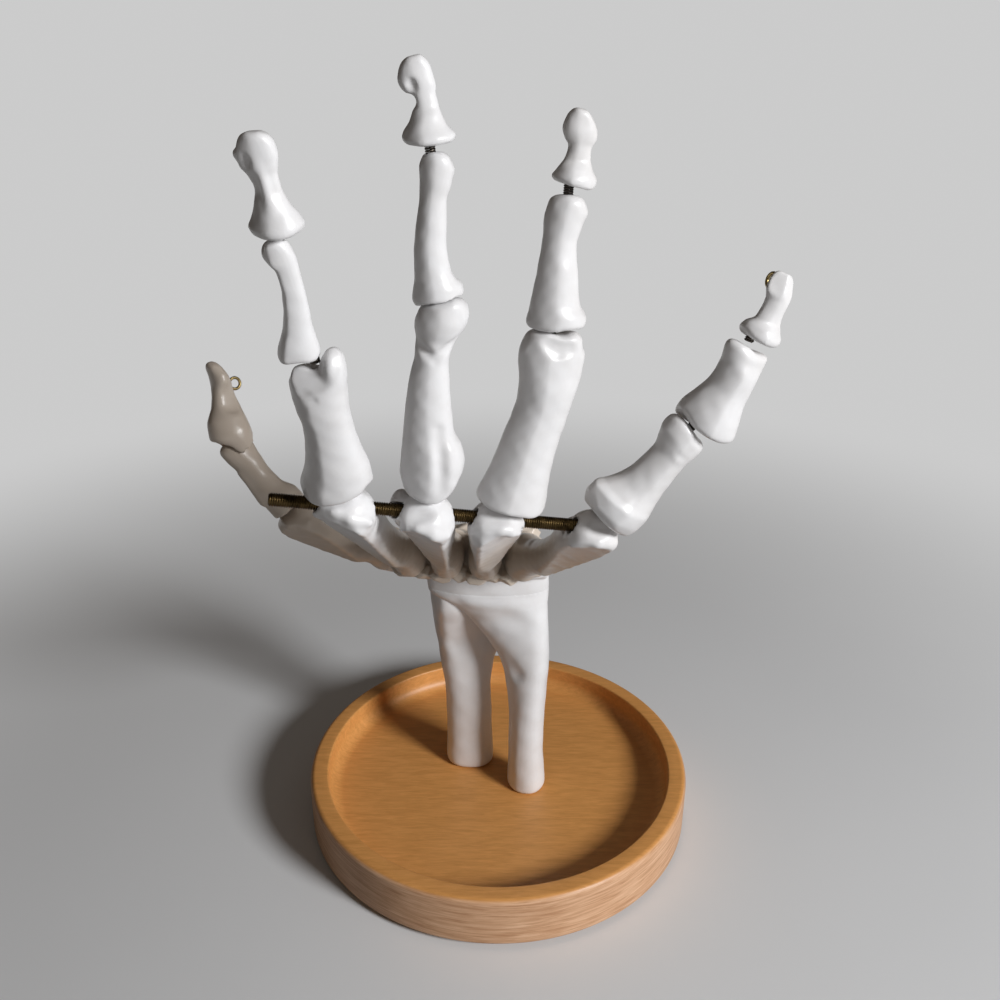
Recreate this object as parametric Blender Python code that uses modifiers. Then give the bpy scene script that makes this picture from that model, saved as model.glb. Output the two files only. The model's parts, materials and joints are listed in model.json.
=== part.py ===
"""Skeleton hand jewelry holder: a jointed right hand of moulded bones that stands on two
forearm stubs in a round wooden tray. Sizes are in millimetres and are turned into metres
where meshes are made. +Z is up, -Y is the front, and the back of the hand faces the front.
The origin is the middle of the felt pad's underside, on the surface that the tray stands on."""

import math

import bmesh
import bpy
from mathutils import Matrix, Quaternion, Vector

MM = 0.001
OBJECT_NAME = "skeleton_hand_jewelry_holder"

# Clearances
SEAT_GAP = 0.3            # left between two pieces that touch on the real object
JOINT_GAP = 1.2           # bone to bone, across a sprung finger joint

# Tray and felt pad
TRAY_DIAMETER = 127.0
TRAY_HEIGHT = 17.0
TRAY_FLOOR = 8.5          # thickness of the wood under the hollow
TRAY_RIM = 6.0            # width of the rim, hollow to outer face
TRAY_COVE = 4.5           # radius of the corner between floor and rim
TRAY_EDGE = 1.8           # radius of the outer top edge
TRAY_FOOT_EDGE = 1.0      # bevel of the bottom edge
PAD_THICKNESS = 1.2
PAD_INSET = 4.0           # from the tray's outer face to the pad's edge

# Wood screws under the tray, one into each forearm bone
SCREW_RADIUS = 1.6
SCREW_HEAD_RADIUS = 3.4
SCREW_HEAD_HEIGHT = 2.4
SCREW_POINT = 2.5
SCREW_GRIP = 12.0         # length inside the bone

# Forearm stubs
WRIST_HEIGHT = 74.7       # tray floor to the flat top of the forearm bones
WRIST_X = -3.2
WRIST_Y = 1.0
RADIUS_FOOT_X = 12.4      # feet of the two bones, from the wrist
RADIUS_FOOT_Y = -4.6
ULNA_FOOT_X = -6.8
ULNA_FOOT_Y = 9.6
FOOT_TURN = -28.0         # heading of the radius section at its foot
RADIUS_FOOT = 6.3         # half widths and half depths
RADIUS_FOOT_DEPTH = 5.8
RADIUS_TOP = 19.9
RADIUS_TOP_DEPTH = 6.1
RADIUS_TOP_X = -0.9         # top of the radius, from the wrist
RADIUS_TOP_Y = -0.4
ULNA_FOOT = 8.6
ULNA_FOOT_DEPTH = 5.8
ULNA_TOP = 6.6
ULNA_TOP_DEPTH = 5.0
ULNA_TOP_X = -13.2
ULNA_TOP_Y = 11.9
ULNA_CREST = 0.45         # how far its right side thins to a ridge at the foot

# Carpal block, a bent slab from the wrist to the flat face that the palm bones stand on
CARPAL_REACH = 28.6       # from the wrist towards the front
CARPAL_RISE = 26.0
CARPAL_SHIFT = -6.4
CARPAL_BOTTOM = 18.4      # half width and half depth at the wrist
CARPAL_BOTTOM_DEPTH = 7.6
CARPAL_BACK = 2.6         # the block sits this far behind the middle of the wrist
CARPAL_BEND = 13.0        # how far its middle line bows up
CARPAL_TOP = 21.8
CARPAL_TOP_DEPTH = 8.2
THUMB_SEAT_RADIUS = 6.4   # the lobe that the thumb stands on
THUMB_SEAT_DEPTH = 20.0

# Palm bones
PALM_PITCH = 10.4         # spacing of their feet along the carpal block
PALM_FOOT = 4.9
PALM_FOOT_DEPTH = 6.8
PALM_WAIST = 4.0
PALM_WAIST_DEPTH = 4.2
PALM_NECK = 4.9

# Knuckle rod, a fine-threaded rod of 3 mm that runs through three knuckles into the fourth
ROD_RADIUS = 1.5
ROD_LENGTH = 68.5
ROD_CHAMFER = 0.4
ROD_FORWARD = 86.6        # free end, measured from the wrist
ROD_RISE = 69.7
ROD_OUT = 45.0
ROD_HEADING = Vector((0.973, 0.160, -0.163)).normalized()
ROD_ABOVE_KNUCKLE = 2.0   # rod axis above the middle of each knuckle

# Joint springs
WIRE = 0.42
SPRING_RADIUS = 1.0       # middle of the wire
SPRING_TURNS = 3
SPRING_POINTS = 8         # per turn
SOCKET_DEPTH = 1.7        # how far a spring reaches into each bone

# Wire eyes behind the fingertips
EYE_WIRE = 0.6
EYE_RADIUS = 1.3
EYE_POINTS = 14
EYE_OPENING = 56.0        # degrees left open in the loop
EYE_GRIP = 1.4            # shank length inside the bone
EYE_STAND = 0.9           # shank length outside the bone
EYE_PLACE = 0.78          # share of the fingertip bone's length

# Shapes shared by the bones, and number of sides of the lofted shapes
BONE_EDGE = 0.7           # bevel round the flat ends of the larger bones
BASE_HEIGHT = 4.0         # flared base of a finger bone
TIP_SHOULDER = 0.72       # width left at the top of a fingertip bone's base
FINGER_SIDES = 10
PALM_SIDES = 12
ARM_SIDES = 14
HEAD_DEPTH_SHARE = 0.44   # sagittal radius of a finger bone's head over its width
BASE_DEPTH_SHARE = 0.41   # half depth of a base over its width
SHAFT_DEPTH_SHARE = 0.43
TIP_DEPTH_SHARE = 0.38    # half depth of a fingertip bone over its waist

# Each finger bone: length between joint middles, lean to the front, tilt to the right,
# then the widths of its base, its shaft and its head
FINGERS = {
    "index": {
        "rod_at": 16.1, "knuckle": 6.3, "roll": -12.0, "palm_place": -1.46,
        "bones": [(36.3, 20.0, -1.8, 13.6, 8.2, 10.6),
                  (24.8, 16.0, -9.0, 9.2, 5.4, 7.2),
                  (21.3, 12.0, -3.7, 9.6, 5.2, 7.2)],
    },
    "middle": {
        "rod_at": 33.0, "knuckle": 6.5, "roll": -6.0, "palm_place": -0.46,
        "bones": [(44.4, 5.0, 5.4, 14.2, 8.0, 10.8),
                  (29.1, 3.0, -0.8, 10.0, 6.0, 7.6),
                  (18.9, 2.0, -7.9, 10.0, 4.6, 6.8)],
    },
    "ring": {
        "rod_at": 48.8, "knuckle": 6.4, "roll": 0.0, "palm_place": 0.54,
        "bones": [(39.2, 0.0, 15.2, 14.4, 8.8, 11.6),
                  (29.3, -2.0, 5.8, 11.0, 6.8, 8.4),
                  (19.3, 2.0, 3.0, 8.6, 4.2, 6.4)],
    },
    "little": {
        "rod_at": 70.7, "knuckle": 5.8, "roll": 8.0, "palm_place": 1.52,
        "bones": [(30.0, 6.0, 37.0, 11.6, 7.2, 9.2),
                  (22.6, 4.0, 27.9, 9.2, 5.8, 7.4),
                  (16.6, 4.0, 19.7, 8.2, 4.2, 5.6)],
    },
    "thumb": {
        "knuckle": 6.0, "roll": -60.0,
        "bones": [(25.4, -6.7, -38.2, 11.8, 7.4, 9.6),
                  (22.0, -8.0, -12.2, 12.0, 6.0, 8.4)],
    },
}
THUMB_FOOT = Vector((-30.0, -16.5, 18.5))       # middle of its palm bone's foot, from the wrist
THUMB_KNUCKLE = Vector((-48.4, -39.9, 41.4))    # middle of its knuckle, from the wrist

BONE_NAMES = ["proximal_phalanx", "middle_phalanx", "distal_phalanx"]
THUMB_BONE_NAMES = ["proximal_phalanx", "distal_phalanx"]
SPRING_NAMES = ["knuckle_spring", "middle_spring", "end_spring"]
THUMB_SPRING_NAMES = ["knuckle_spring", "end_spring"]

# Heights worked out from the tray
TRAY_BOTTOM = PAD_THICKNESS + SEAT_GAP
TRAY_FLOOR_TOP = TRAY_BOTTOM + TRAY_FLOOR
WRIST = Vector((WRIST_X, WRIST_Y, TRAY_FLOOR_TOP + SEAT_GAP + WRIST_HEIGHT))
UP = Vector((0, 0, 1))


# Scene, collections and materials

def clear_scene():
    for obj in list(bpy.data.objects):
        bpy.data.objects.remove(obj, do_unlink=True)
    for name in (OBJECT_NAME, "cutters"):
        old = bpy.data.collections.get(name)
        if old:
            bpy.data.collections.remove(old)


def new_collection(name):
    made = bpy.data.collections.new(name)
    bpy.context.scene.collection.children.link(made)
    return made


def new_material(name, color, roughness, metallic=0.0):
    material = bpy.data.materials.new(name)
    material.use_nodes = True
    shader = material.node_tree.nodes["Principled BSDF"]
    shader.inputs["Base Color"].default_value = (*color, 1.0)
    shader.inputs["Roughness"].default_value = roughness
    shader.inputs["Metallic"].default_value = metallic
    return material


clear_scene()
PARTS = new_collection(OBJECT_NAME)
CUTTERS = new_collection("cutters")
WOOD = new_material("beech_wood", (0.36, 0.17, 0.06), 0.45)
BONE = new_material("bone_plastic", (0.80, 0.78, 0.76), 0.28)
BRONZE = new_material("dark_bronze", (0.12, 0.08, 0.03), 0.38, 1.0)
SPRING_STEEL = new_material("spring_steel", (0.10, 0.09, 0.08), 0.40, 1.0)
BRASS = new_material("brass", (0.45, 0.30, 0.10), 0.35, 1.0)
ZINC = new_material("zinc_steel", (0.60, 0.60, 0.58), 0.35, 1.0)
FELT = new_material("black_felt", (0.02, 0.02, 0.02), 0.95)


# Shape tools

def place(obj, material, matrix, collection):
    obj.data.materials.append(material)
    collection.objects.link(obj)
    place_at = matrix.copy()
    place_at.translation = matrix.translation * MM
    obj.matrix_world = place_at
    return obj


def loft(name, rings, material, matrix=Matrix(), collection=PARTS):
    """A closed body through rings of world points in mm, kept in the frame of matrix."""
    into = matrix.inverted()
    mesh = bpy.data.meshes.new(name)
    body = bmesh.new()
    rows = [[body.verts.new((into @ point) * MM) for point in ring] for ring in rings]
    count = len(rows[0])
    for low, high in zip(rows, rows[1:]):
        for i in range(count):
            j = (i + 1) % count
            body.faces.new((low[i], low[j], high[j], high[i]))
    body.faces.new(list(reversed(rows[0])))
    body.faces.new(rows[-1])
    body.to_mesh(mesh)
    body.free()
    mesh.shade_smooth()
    mesh.set_sharp_from_angle(angle=math.radians(50))
    return place(bpy.data.objects.new(name, mesh), material, matrix, collection)


def oval(middle, across, deep, half_width, back, front=None, sides=FINGER_SIDES, square=2.3,
         dish=0.0, side_dish=0.0):
    """A rounded ring in the plane of across and deep; back is its reach along deep."""
    front = back if front is None else front
    normal = across.cross(deep)
    points = []
    for i in range(sides):
        turn = math.tau * (i + 0.5) / sides
        c, s = math.cos(turn), math.sin(turn)
        u = math.copysign(abs(c) ** (2 / square), c)
        v = math.copysign(abs(s) ** (2 / square), s)
        reach = back if v > 0 else front
        sink = dish * v * v + side_dish * u * u
        points.append(middle + across * half_width * u + deep * reach * v - normal * sink)
    return points


def circle(middle, across, deep, radius, sides=FINGER_SIDES):
    return oval(middle, across, deep, radius, radius, sides=sides, square=2.0)


def turned(name, profile, steps, material, matrix=Matrix(), collection=PARTS):
    """A body turned about Z from a profile of (radius, height), run top to bottom outside."""
    mesh = bpy.data.meshes.new(name)
    points = [(radius * MM, 0.0, height * MM) for radius, height in profile]
    mesh.from_pydata(points, [(i, i + 1) for i in range(len(points) - 1)], [])
    obj = place(bpy.data.objects.new(name, mesh), material, matrix, collection)
    screw = obj.modifiers.new("turn", "SCREW")
    screw.axis = "Z"
    screw.steps = screw.render_steps = steps
    screw.use_merge_vertices = True
    screw.merge_threshold = 0.00001
    return obj


def wire(name, path, diameter, material, matrix=Matrix(), resolution=1):
    """One round wire along world points in mm, with filled ends."""
    into = matrix.inverted()
    curve = bpy.data.curves.new(name, "CURVE")
    curve.dimensions = "3D"
    curve.bevel_depth = diameter / 2 * MM
    curve.bevel_resolution = resolution
    curve.use_fill_caps = True
    spline = curve.splines.new("POLY")
    spline.points.add(len(path) - 1)
    for target, point in zip(spline.points, path):
        target.co = (*((into @ point) * MM), 1.0)
    return place(bpy.data.objects.new(name, curve), material, matrix, PARTS)


def round_cutter(name, start, heading, length, radius, sides=10):
    """A hidden cylinder from a start point along a heading, used to bore a hole."""
    turn = UP.rotation_difference(heading).to_matrix().to_4x4()
    matrix = Matrix.Translation(start) @ turn
    mesh = bpy.data.meshes.new(name)
    body = bmesh.new()
    bmesh.ops.create_cone(body, cap_ends=True, segments=sides, radius1=radius * MM,
                          radius2=radius * MM, depth=length * MM,
                          matrix=Matrix.Translation((0, 0, length / 2 * MM)))
    body.to_mesh(mesh)
    body.free()
    return hide_cutter(place(bpy.data.objects.new(name, mesh), ZINC, matrix, CUTTERS))


def hide_cutter(cutter):
    cutter.hide_render = True
    cutter.display_type = "WIRE"
    return cutter


def combine(obj, other, operation="DIFFERENCE"):
    change = obj.modifiers.new(operation.lower(), "BOOLEAN")
    change.operation = operation
    change.solver = "EXACT"
    change.object = other


def flat_radius(radius, sides):
    """The corner radius of a polygon whose flats clear a circle of the given radius."""
    return radius / math.cos(math.pi / sides)


# Places of the rod, the knuckles and the finger joints

ROD_START = WRIST + Vector((-ROD_OUT, -ROD_FORWARD, ROD_RISE))
KNUCKLE_DROP = UP * ROD_ABOVE_KNUCKLE


def heading(lean, side):
    """A direction that leans to the front and tilts to the right, in degrees."""
    return Vector((math.tan(math.radians(side)), -math.tan(math.radians(lean)), 1)).normalized()


def bone_frame(start, along, across):
    """X across the bone along its hinge, Y towards the palm, Z along the bone."""
    x = (across - along * across.dot(along)).normalized()
    y = along.cross(x)
    matrix = Matrix((x, y, along)).transposed().to_4x4()
    matrix.translation = start
    return matrix


def axes(matrix):
    columns = matrix.to_3x3().transposed()
    return columns[0].copy(), columns[1].copy(), columns[2].copy()


def knuckle_place(finger):
    if finger == "thumb":
        return WRIST + THUMB_KNUCKLE
    return ROD_START + ROD_HEADING * FINGERS[finger]["rod_at"] - KNUCKLE_DROP


def finger_frames(finger):
    """One frame for each bone of a finger, at the joint below it."""
    data = FINGERS[finger]
    start = knuckle_place(finger)
    frames = []
    for length, lean, side, *_ in data["bones"]:
        along = heading(lean, side)
        across = Quaternion(along, math.radians(data["roll"])) @ ROD_HEADING
        frames.append(bone_frame(start, along, across))
        start = start + along * length
    return frames


# Tray, pad and screws

def rounded(middle_radius, middle_height, radius, first, last, count):
    """Profile points of an arc, from first to last in degrees about its middle."""
    points = []
    for i in range(count + 1):
        angle = math.radians(first + (last - first) * i / count)
        points.append((middle_radius + radius * math.cos(angle),
                       middle_height + radius * math.sin(angle)))
    return points


def foot_places():
    """The middles of the feet of the radius and the ulna."""
    height = TRAY_FLOOR_TOP + SEAT_GAP
    return (Vector((WRIST_X + RADIUS_FOOT_X, WRIST_Y + RADIUS_FOOT_Y, height)),
            Vector((WRIST_X + ULNA_FOOT_X, WRIST_Y + ULNA_FOOT_Y, height)))


def build_tray():
    outer = TRAY_DIAMETER / 2
    rim_top = TRAY_BOTTOM + TRAY_HEIGHT
    inner = outer - TRAY_RIM
    inner_edge = TRAY_EDGE / 3
    profile = [(0, TRAY_FLOOR_TOP)]
    profile += rounded(inner - TRAY_COVE, TRAY_FLOOR_TOP + TRAY_COVE, TRAY_COVE, 270, 360, 4)
    profile += rounded(inner + inner_edge, rim_top - inner_edge, inner_edge, 180, 90, 2)
    profile += rounded(outer - TRAY_EDGE, rim_top - TRAY_EDGE, TRAY_EDGE, 90, 0, 3)
    profile += [(outer, TRAY_BOTTOM + TRAY_FOOT_EDGE), (outer - TRAY_FOOT_EDGE, TRAY_BOTTOM)]
    profile += [(0, TRAY_BOTTOM)]
    tray = turned("tray", profile, 56, WOOD)
    hole = flat_radius(SCREW_RADIUS + SEAT_GAP, 12)
    sink = flat_radius(SCREW_HEAD_RADIUS + SEAT_GAP, 12)
    for name, foot in zip(("radius", "ulna"), foot_places()):
        low = Vector((foot.x, foot.y, TRAY_BOTTOM - 1))
        high = TRAY_FLOOR_TOP + 1
        cone_top = TRAY_BOTTOM + SCREW_HEAD_HEIGHT + SEAT_GAP
        shape = [(0, high), (hole, high), (hole, cone_top), (sink, TRAY_BOTTOM + SEAT_GAP),
                 (sink, low.z), (0, low.z)]
        shape = [(radius, height - low.z) for radius, height in shape]
        cutter = turned(name + "_screw_hole", shape, 12, ZINC, Matrix.Translation(low), CUTTERS)
        combine(tray, hide_cutter(cutter))
    return tray


def build_pad():
    radius = TRAY_DIAMETER / 2 - PAD_INSET
    profile = [(0, PAD_THICKNESS), (radius, PAD_THICKNESS), (radius, 0), (0, 0)]
    return turned("felt_pad", profile, 40, FELT)


def build_screws():
    for name, foot in zip(("radius_screw", "ulna_screw"), foot_places()):
        bottom = TRAY_BOTTOM + SEAT_GAP
        tip = foot.z + SCREW_GRIP
        profile = [(0, tip), (SCREW_RADIUS, tip - SCREW_POINT),
                   (SCREW_RADIUS, bottom + SCREW_HEAD_HEIGHT), (SCREW_HEAD_RADIUS, bottom + 0.3),
                   (SCREW_HEAD_RADIUS, bottom), (0, bottom)]
        profile = [(radius, height - bottom) for radius, height in profile]
        turned(name, profile, 12, ZINC, Matrix.Translation((foot.x, foot.y, bottom)))


# Forearm stubs

def arm_ring(middle, turn, half_width, half_depth, crest):
    """A ring of a forearm bone; crest thins its right side to a ridge."""
    spin = Quaternion(UP, math.radians(turn))
    across, deep = spin @ Vector((1, 0, 0)), spin @ Vector((0, 1, 0))
    points = oval(middle, across, deep, half_width, half_depth, sides=ARM_SIDES)
    for point in points:
        reach = max(0.0, (point - middle).dot(across) / half_width)
        point -= deep * (point - middle).dot(deep) * crest * reach
    return points


def arm_bone(name, foot, top, sizes, crest):
    """sizes lists share of height, travel from foot to top, half width and half depth."""
    hole = flat_radius(SCREW_RADIUS + SEAT_GAP, ARM_SIDES)
    x, y = Vector((1, 0, 0)), Vector((0, 1, 0))
    rings = [circle(foot + UP * (SCREW_GRIP + SEAT_GAP), x, y, hole, ARM_SIDES),
             circle(foot, x, y, hole, ARM_SIDES)]
    for share, travel, half_width, half_depth in sizes:
        middle = foot.lerp(top, travel)
        middle.z = foot.z + (top.z - foot.z) * share
        rings.append(arm_ring(middle, FOOT_TURN * (1 - travel), half_width, half_depth,
                              crest * (1 - travel)))
    return loft(name, rings, BONE)


def build_forearm():
    """The radius crosses from the right foot to the whole width of the wrist, and the
    slimmer ulna stands behind its flare on the left."""
    radius_foot, ulna_foot = foot_places()
    radius_top = WRIST + Vector((RADIUS_TOP_X, RADIUS_TOP_Y, 0))
    ulna_top = WRIST + Vector((ULNA_TOP_X, ULNA_TOP_Y, 0))
    foot, foot_depth, top, top_depth = RADIUS_FOOT, RADIUS_FOOT_DEPTH, RADIUS_TOP, RADIUS_TOP_DEPTH
    arm_bone("radius", radius_foot, radius_top, [
        (0.0, 0.0, foot - BONE_EDGE, foot_depth - BONE_EDGE), (0.02, 0.0, foot, foot_depth),
        (0.2, 0.02, foot * 0.94, foot_depth), (0.38, 0.05, foot * 0.97, foot_depth),
        (0.52, 0.12, foot + (top - foot) * 0.12, foot_depth),
        (0.66, 0.34, foot + (top - foot) * 0.38, top_depth),
        (0.80, 0.60, foot + (top - foot) * 0.64, top_depth),
        (0.92, 0.88, foot + (top - foot) * 0.86, top_depth), (0.975, 1.0, top, top_depth),
        (1.0, 1.0, top - BONE_EDGE, top_depth - BONE_EDGE)], 0.0)
    foot, foot_depth, top, top_depth = ULNA_FOOT, ULNA_FOOT_DEPTH, ULNA_TOP, ULNA_TOP_DEPTH
    arm_bone("ulna", ulna_foot, ulna_top, [
        (0.0, 0.0, foot - BONE_EDGE, foot_depth - BONE_EDGE), (0.02, 0.0, foot, foot_depth),
        (0.2, 0.02, foot * 0.95, foot_depth * 0.95), (0.4, 0.1, foot * 0.96, foot_depth * 0.95),
        (0.54, 0.4, foot + (top - foot) * 0.5, foot_depth * 0.97),
        (0.68, 0.8, top * 1.04, top_depth), (0.84, 1.0, top, top_depth),
        (0.97, 1.0, top, top_depth), (1.0, 1.0, top - BONE_EDGE, top_depth - BONE_EDGE)],
             ULNA_CREST)


# Carpal block and palm bones

CARPAL_FACE = WRIST + Vector((CARPAL_SHIFT, -CARPAL_REACH, CARPAL_RISE))


def palm_frame():
    """The frame of the flat face that the palm bones stand on."""
    middle_knuckle = knuckle_place("middle")
    return bone_frame(CARPAL_FACE, (middle_knuckle - CARPAL_FACE).normalized(), ROD_HEADING)


def build_carpals():
    start = bone_frame(WRIST + Vector((0, CARPAL_BACK, SEAT_GAP)), UP, Vector((1, 0, 0)))
    end = palm_frame()
    first, last = start.to_quaternion(), end.to_quaternion()
    pull = UP * CARPAL_BEND
    rings = []
    shares = (0.0, 0.08, 0.3, 0.5, 0.72, 0.94, 1.0)
    for share in shares:
        # A curved middle line that leaves the wrist straight up
        middle = start.translation.lerp(end.translation, share) + pull * share * (1 - share)
        spin = first.slerp(last, share).to_matrix()
        edge = BONE_EDGE if share in (shares[0], shares[-1]) else 0.0
        half_width = CARPAL_BOTTOM + (CARPAL_TOP - CARPAL_BOTTOM) * share - edge
        half_depth = CARPAL_BOTTOM_DEPTH + (CARPAL_TOP_DEPTH - CARPAL_BOTTOM_DEPTH) * share - edge
        rings.append(oval(middle, spin.col[0], spin.col[1], half_width, half_depth,
                          sides=ARM_SIDES, square=2.8))
    block = loft("carpal_block", rings, BONE)
    # The lobe under the thumb, joined to the block
    foot = WRIST + THUMB_FOOT
    along = (WRIST + THUMB_KNUCKLE - foot).normalized()
    seat = axes(bone_frame(foot, along, ROD_HEADING))
    root = foot - along * THUMB_SEAT_DEPTH * 0.7 + ROD_HEADING * THUMB_SEAT_DEPTH * 0.45
    lobe_rings = []
    for share, grow in ((0.0, 0.75), (0.5, 1.0), (0.92, 1.0), (1.0, 0.9)):
        middle = root.lerp(foot, share) - along * SEAT_GAP * share
        radius = THUMB_SEAT_RADIUS * grow
        lobe_rings.append(oval(middle, seat[0], seat[1], radius, radius, sides=12))
    lobe = hide_cutter(loft("thumb_seat", lobe_rings, BONE, collection=CUTTERS))
    combine(block, lobe, "UNION")
    return block


def palm_bone(name, foot, foot_axes, head, head_radius):
    """A palm bone from its flat foot to a ball-shaped knuckle."""
    along = (head - foot).normalized()
    length = (head - foot).length
    frame = bone_frame(foot, along, ROD_HEADING)
    across, deep, _ = axes(frame)
    rings = [oval(foot, foot_axes[0], foot_axes[1], PALM_FOOT - BONE_EDGE,
                  PALM_FOOT_DEPTH - BONE_EDGE, sides=PALM_SIDES),
             oval(foot + foot_axes[2] * 1.2, foot_axes[0], foot_axes[1], PALM_FOOT,
                  PALM_FOOT_DEPTH, sides=PALM_SIDES)]
    for share, half_width, half_depth in ((0.17, PALM_FOOT - 0.5, PALM_FOOT_DEPTH - 1.1),
                                          (0.32, PALM_WAIST + 0.3, PALM_WAIST_DEPTH + 0.4),
                                          (0.52, PALM_WAIST, PALM_WAIST_DEPTH),
                                          (0.72, PALM_WAIST + 0.5, PALM_WAIST_DEPTH + 0.2)):
        rings.append(oval(foot + along * length * share, across, deep, half_width, half_depth,
                          sides=PALM_SIDES))
    rings.append(oval(head - along * head_radius * 1.12, across, deep, PALM_NECK + 0.5, PALM_NECK,
                      sides=PALM_SIDES))
    for degrees in (-34, -6, 20, 44, 66, 82):
        angle = math.radians(degrees)
        reach = head_radius * math.cos(angle)
        rings.append(oval(head + along * head_radius * math.sin(angle), across, deep, reach, reach,
                          sides=PALM_SIDES, square=2.1))
    return loft(name, rings, BONE, frame)


def build_palm():
    frame = palm_frame()
    face = axes(frame)
    for finger, data in FINGERS.items():
        head = knuckle_place(finger)
        first_frame = finger_frames(finger)[0]
        if finger == "thumb":
            foot = WRIST + THUMB_FOOT
            seat = axes(bone_frame(foot, (head - foot).normalized(), ROD_HEADING))
        else:
            foot = CARPAL_FACE + face[2] * SEAT_GAP + face[0] * PALM_PITCH * data["palm_place"]
            seat = face
        bone = palm_bone("metacarpal_" + finger, foot, seat, head, data["knuckle"])
        bore_socket(bone, head, axes(first_frame)[2], data["knuckle"])
        if finger != "thumb":
            bore = round_cutter(finger + "_rod_bore", ROD_START - ROD_HEADING * SEAT_GAP,
                                ROD_HEADING, ROD_LENGTH + 2 * SEAT_GAP,
                                flat_radius(ROD_RADIUS + SEAT_GAP, 12), 12)
            combine(bone, bore)


def build_rod():
    turn = UP.rotation_difference(ROD_HEADING).to_matrix().to_4x4()
    edge = ROD_RADIUS - ROD_CHAMFER
    profile = [(0, ROD_LENGTH), (edge, ROD_LENGTH), (ROD_RADIUS, ROD_LENGTH - ROD_CHAMFER),
               (ROD_RADIUS, ROD_CHAMFER), (edge, 0), (0, 0)]
    return turned("knuckle_rod", profile, 16, BRONZE, Matrix.Translation(ROD_START) @ turn)


# Finger bones

def bore_socket(obj, joint, along, head_radius):
    """Bores the socket of the next bone's spring into the head of a bone."""
    cutter = round_cutter(obj.name + "_socket", joint + along * (head_radius - SOCKET_DEPTH),
                          along, SOCKET_DEPTH + JOINT_GAP,
                          flat_radius(SPRING_RADIUS + WIRE / 2 + SEAT_GAP, 8), 8)
    combine(obj, cutter)


def bone_base(frame, bone, below, shoulder=0.9):
    """Rings of a bone's hollowed base, which sits over a head of radius below."""
    across, deep, along = axes(frame)
    start = frame.translation
    width, depth = bone[3] / 2, bone[3] * BASE_DEPTH_SHARE
    face = below + JOINT_GAP
    socket = flat_radius(SPRING_RADIUS + WIRE / 2 + SEAT_GAP, FINGER_SIDES)
    rings = [circle(start + along * (face + SOCKET_DEPTH), across, deep, socket),
             circle(start + along * face, across, deep, socket)]
    rings.append(oval(start + along * (face + 0.2), across, deep, width * 0.88, depth * 0.86,
                      dish=1.1, side_dish=0.5))
    rings.append(oval(start + along * (face + 1.5), across, deep, width, depth * 0.98, depth,
                      dish=1.0, side_dish=0.5))
    rings.append(oval(start + along * (face + BASE_HEIGHT), across, deep, width * shoulder,
                      depth * (shoulder - 0.06), depth * (shoulder + 0.02)))
    return rings, face


def finger_bone(name, frame, bone, below, next_frame, parent):
    """A bone with a base, a shaft that bows to the back of the hand, and a rolled head."""
    length, _, _, base_width, shaft_width, head_width = bone
    across, deep, along = axes(frame)
    start = frame.translation
    rings, face = bone_base(frame, bone, below)
    head_radius = head_width * HEAD_DEPTH_SHARE
    shaft_start = face + BASE_HEIGHT
    shaft_end = length - head_radius * 1.3
    shaft = shaft_width / 2
    flat = shaft_width * SHAFT_DEPTH_SHARE
    for share, widen, bow in ((0.3, 0.1, -0.3), (0.62, 0.0, -0.6), (1.0, 0.12, -0.35)):
        half_width = shaft * (1 - widen) + (base_width / 2 if share < 0.5 else head_width / 2) * widen
        middle = start + along * (shaft_start + (shaft_end - shaft_start) * share) + deep * bow
        rings.append(oval(middle, across, deep, half_width, flat * 0.9, flat * 1.05))
    for degrees, widen in ((-38, 0.9), (-8, 1.0), (24, 1.0), (50, 0.88), (74, 0.66)):
        angle = math.radians(degrees)
        reach = head_radius * math.cos(angle)
        middle = start + along * (length + head_radius * math.sin(angle))
        rings.append(oval(middle, across, deep, head_width / 2 * widen, reach, square=2.6))
    obj = loft(name, rings, BONE, frame)
    attach(obj, parent)
    bore_socket(obj, next_frame.translation, axes(next_frame)[2], head_radius)
    return obj, head_radius


def tip_bone(name, frame, bone, below, parent):
    """A fingertip bone with a base, a narrow waist and a flat rounded tuft."""
    length, _, _, _, waist_width, tuft_width = bone
    across, deep, along = axes(frame)
    start = frame.translation
    rings, face = bone_base(frame, bone, below, TIP_SHOULDER)
    first = face + BASE_HEIGHT
    waist, tuft, depth = waist_width / 2, tuft_width / 2, waist_width * TIP_DEPTH_SHARE
    for share, half_width, half_depth in ((0.30, waist * 1.1, depth * 1.1), (0.52, waist, depth),
                                          (0.72, tuft * 0.84, depth), (0.86, tuft, depth),
                                          (0.95, tuft * 0.84, depth * 0.8),
                                          (1.0, tuft * 0.4, depth * 0.4)):
        middle = start + along * (first + (length - first) * share)
        rings.append(oval(middle, across, deep, half_width, half_depth))
    obj = loft(name, rings, BONE, frame)
    attach(obj, parent)
    return obj


def attach(obj, parent):
    """Parents a piece without moving it."""
    if parent is None:
        return
    obj.parent = parent
    obj.matrix_parent_inverse = parent.matrix_world.inverted()


# Springs and wire eyes

def joint_spring(name, frame, below):
    """A short coil from the socket in the head below to the socket in this bone's base."""
    across, deep, along = axes(frame)
    start = below - SOCKET_DEPTH + SEAT_GAP
    end = below + JOINT_GAP + SOCKET_DEPTH - SEAT_GAP

    def point(height, turn):
        out = across * math.cos(turn) + deep * math.sin(turn)
        return frame.translation + along * height + out * SPRING_RADIUS

    steps = SPRING_TURNS * SPRING_POINTS
    rise = (end - start - 2 * WIRE) / steps
    path = [point(start, 0.0)]
    path += [point(start + WIRE + rise * i, math.tau * i / SPRING_POINTS) for i in range(steps + 1)]
    path.append(point(end, 0.0))
    print(name, "least gap to itself", round(least_gap(path), 3), "mm")
    return wire(name, path, WIRE, SPRING_STEEL, frame)


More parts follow.
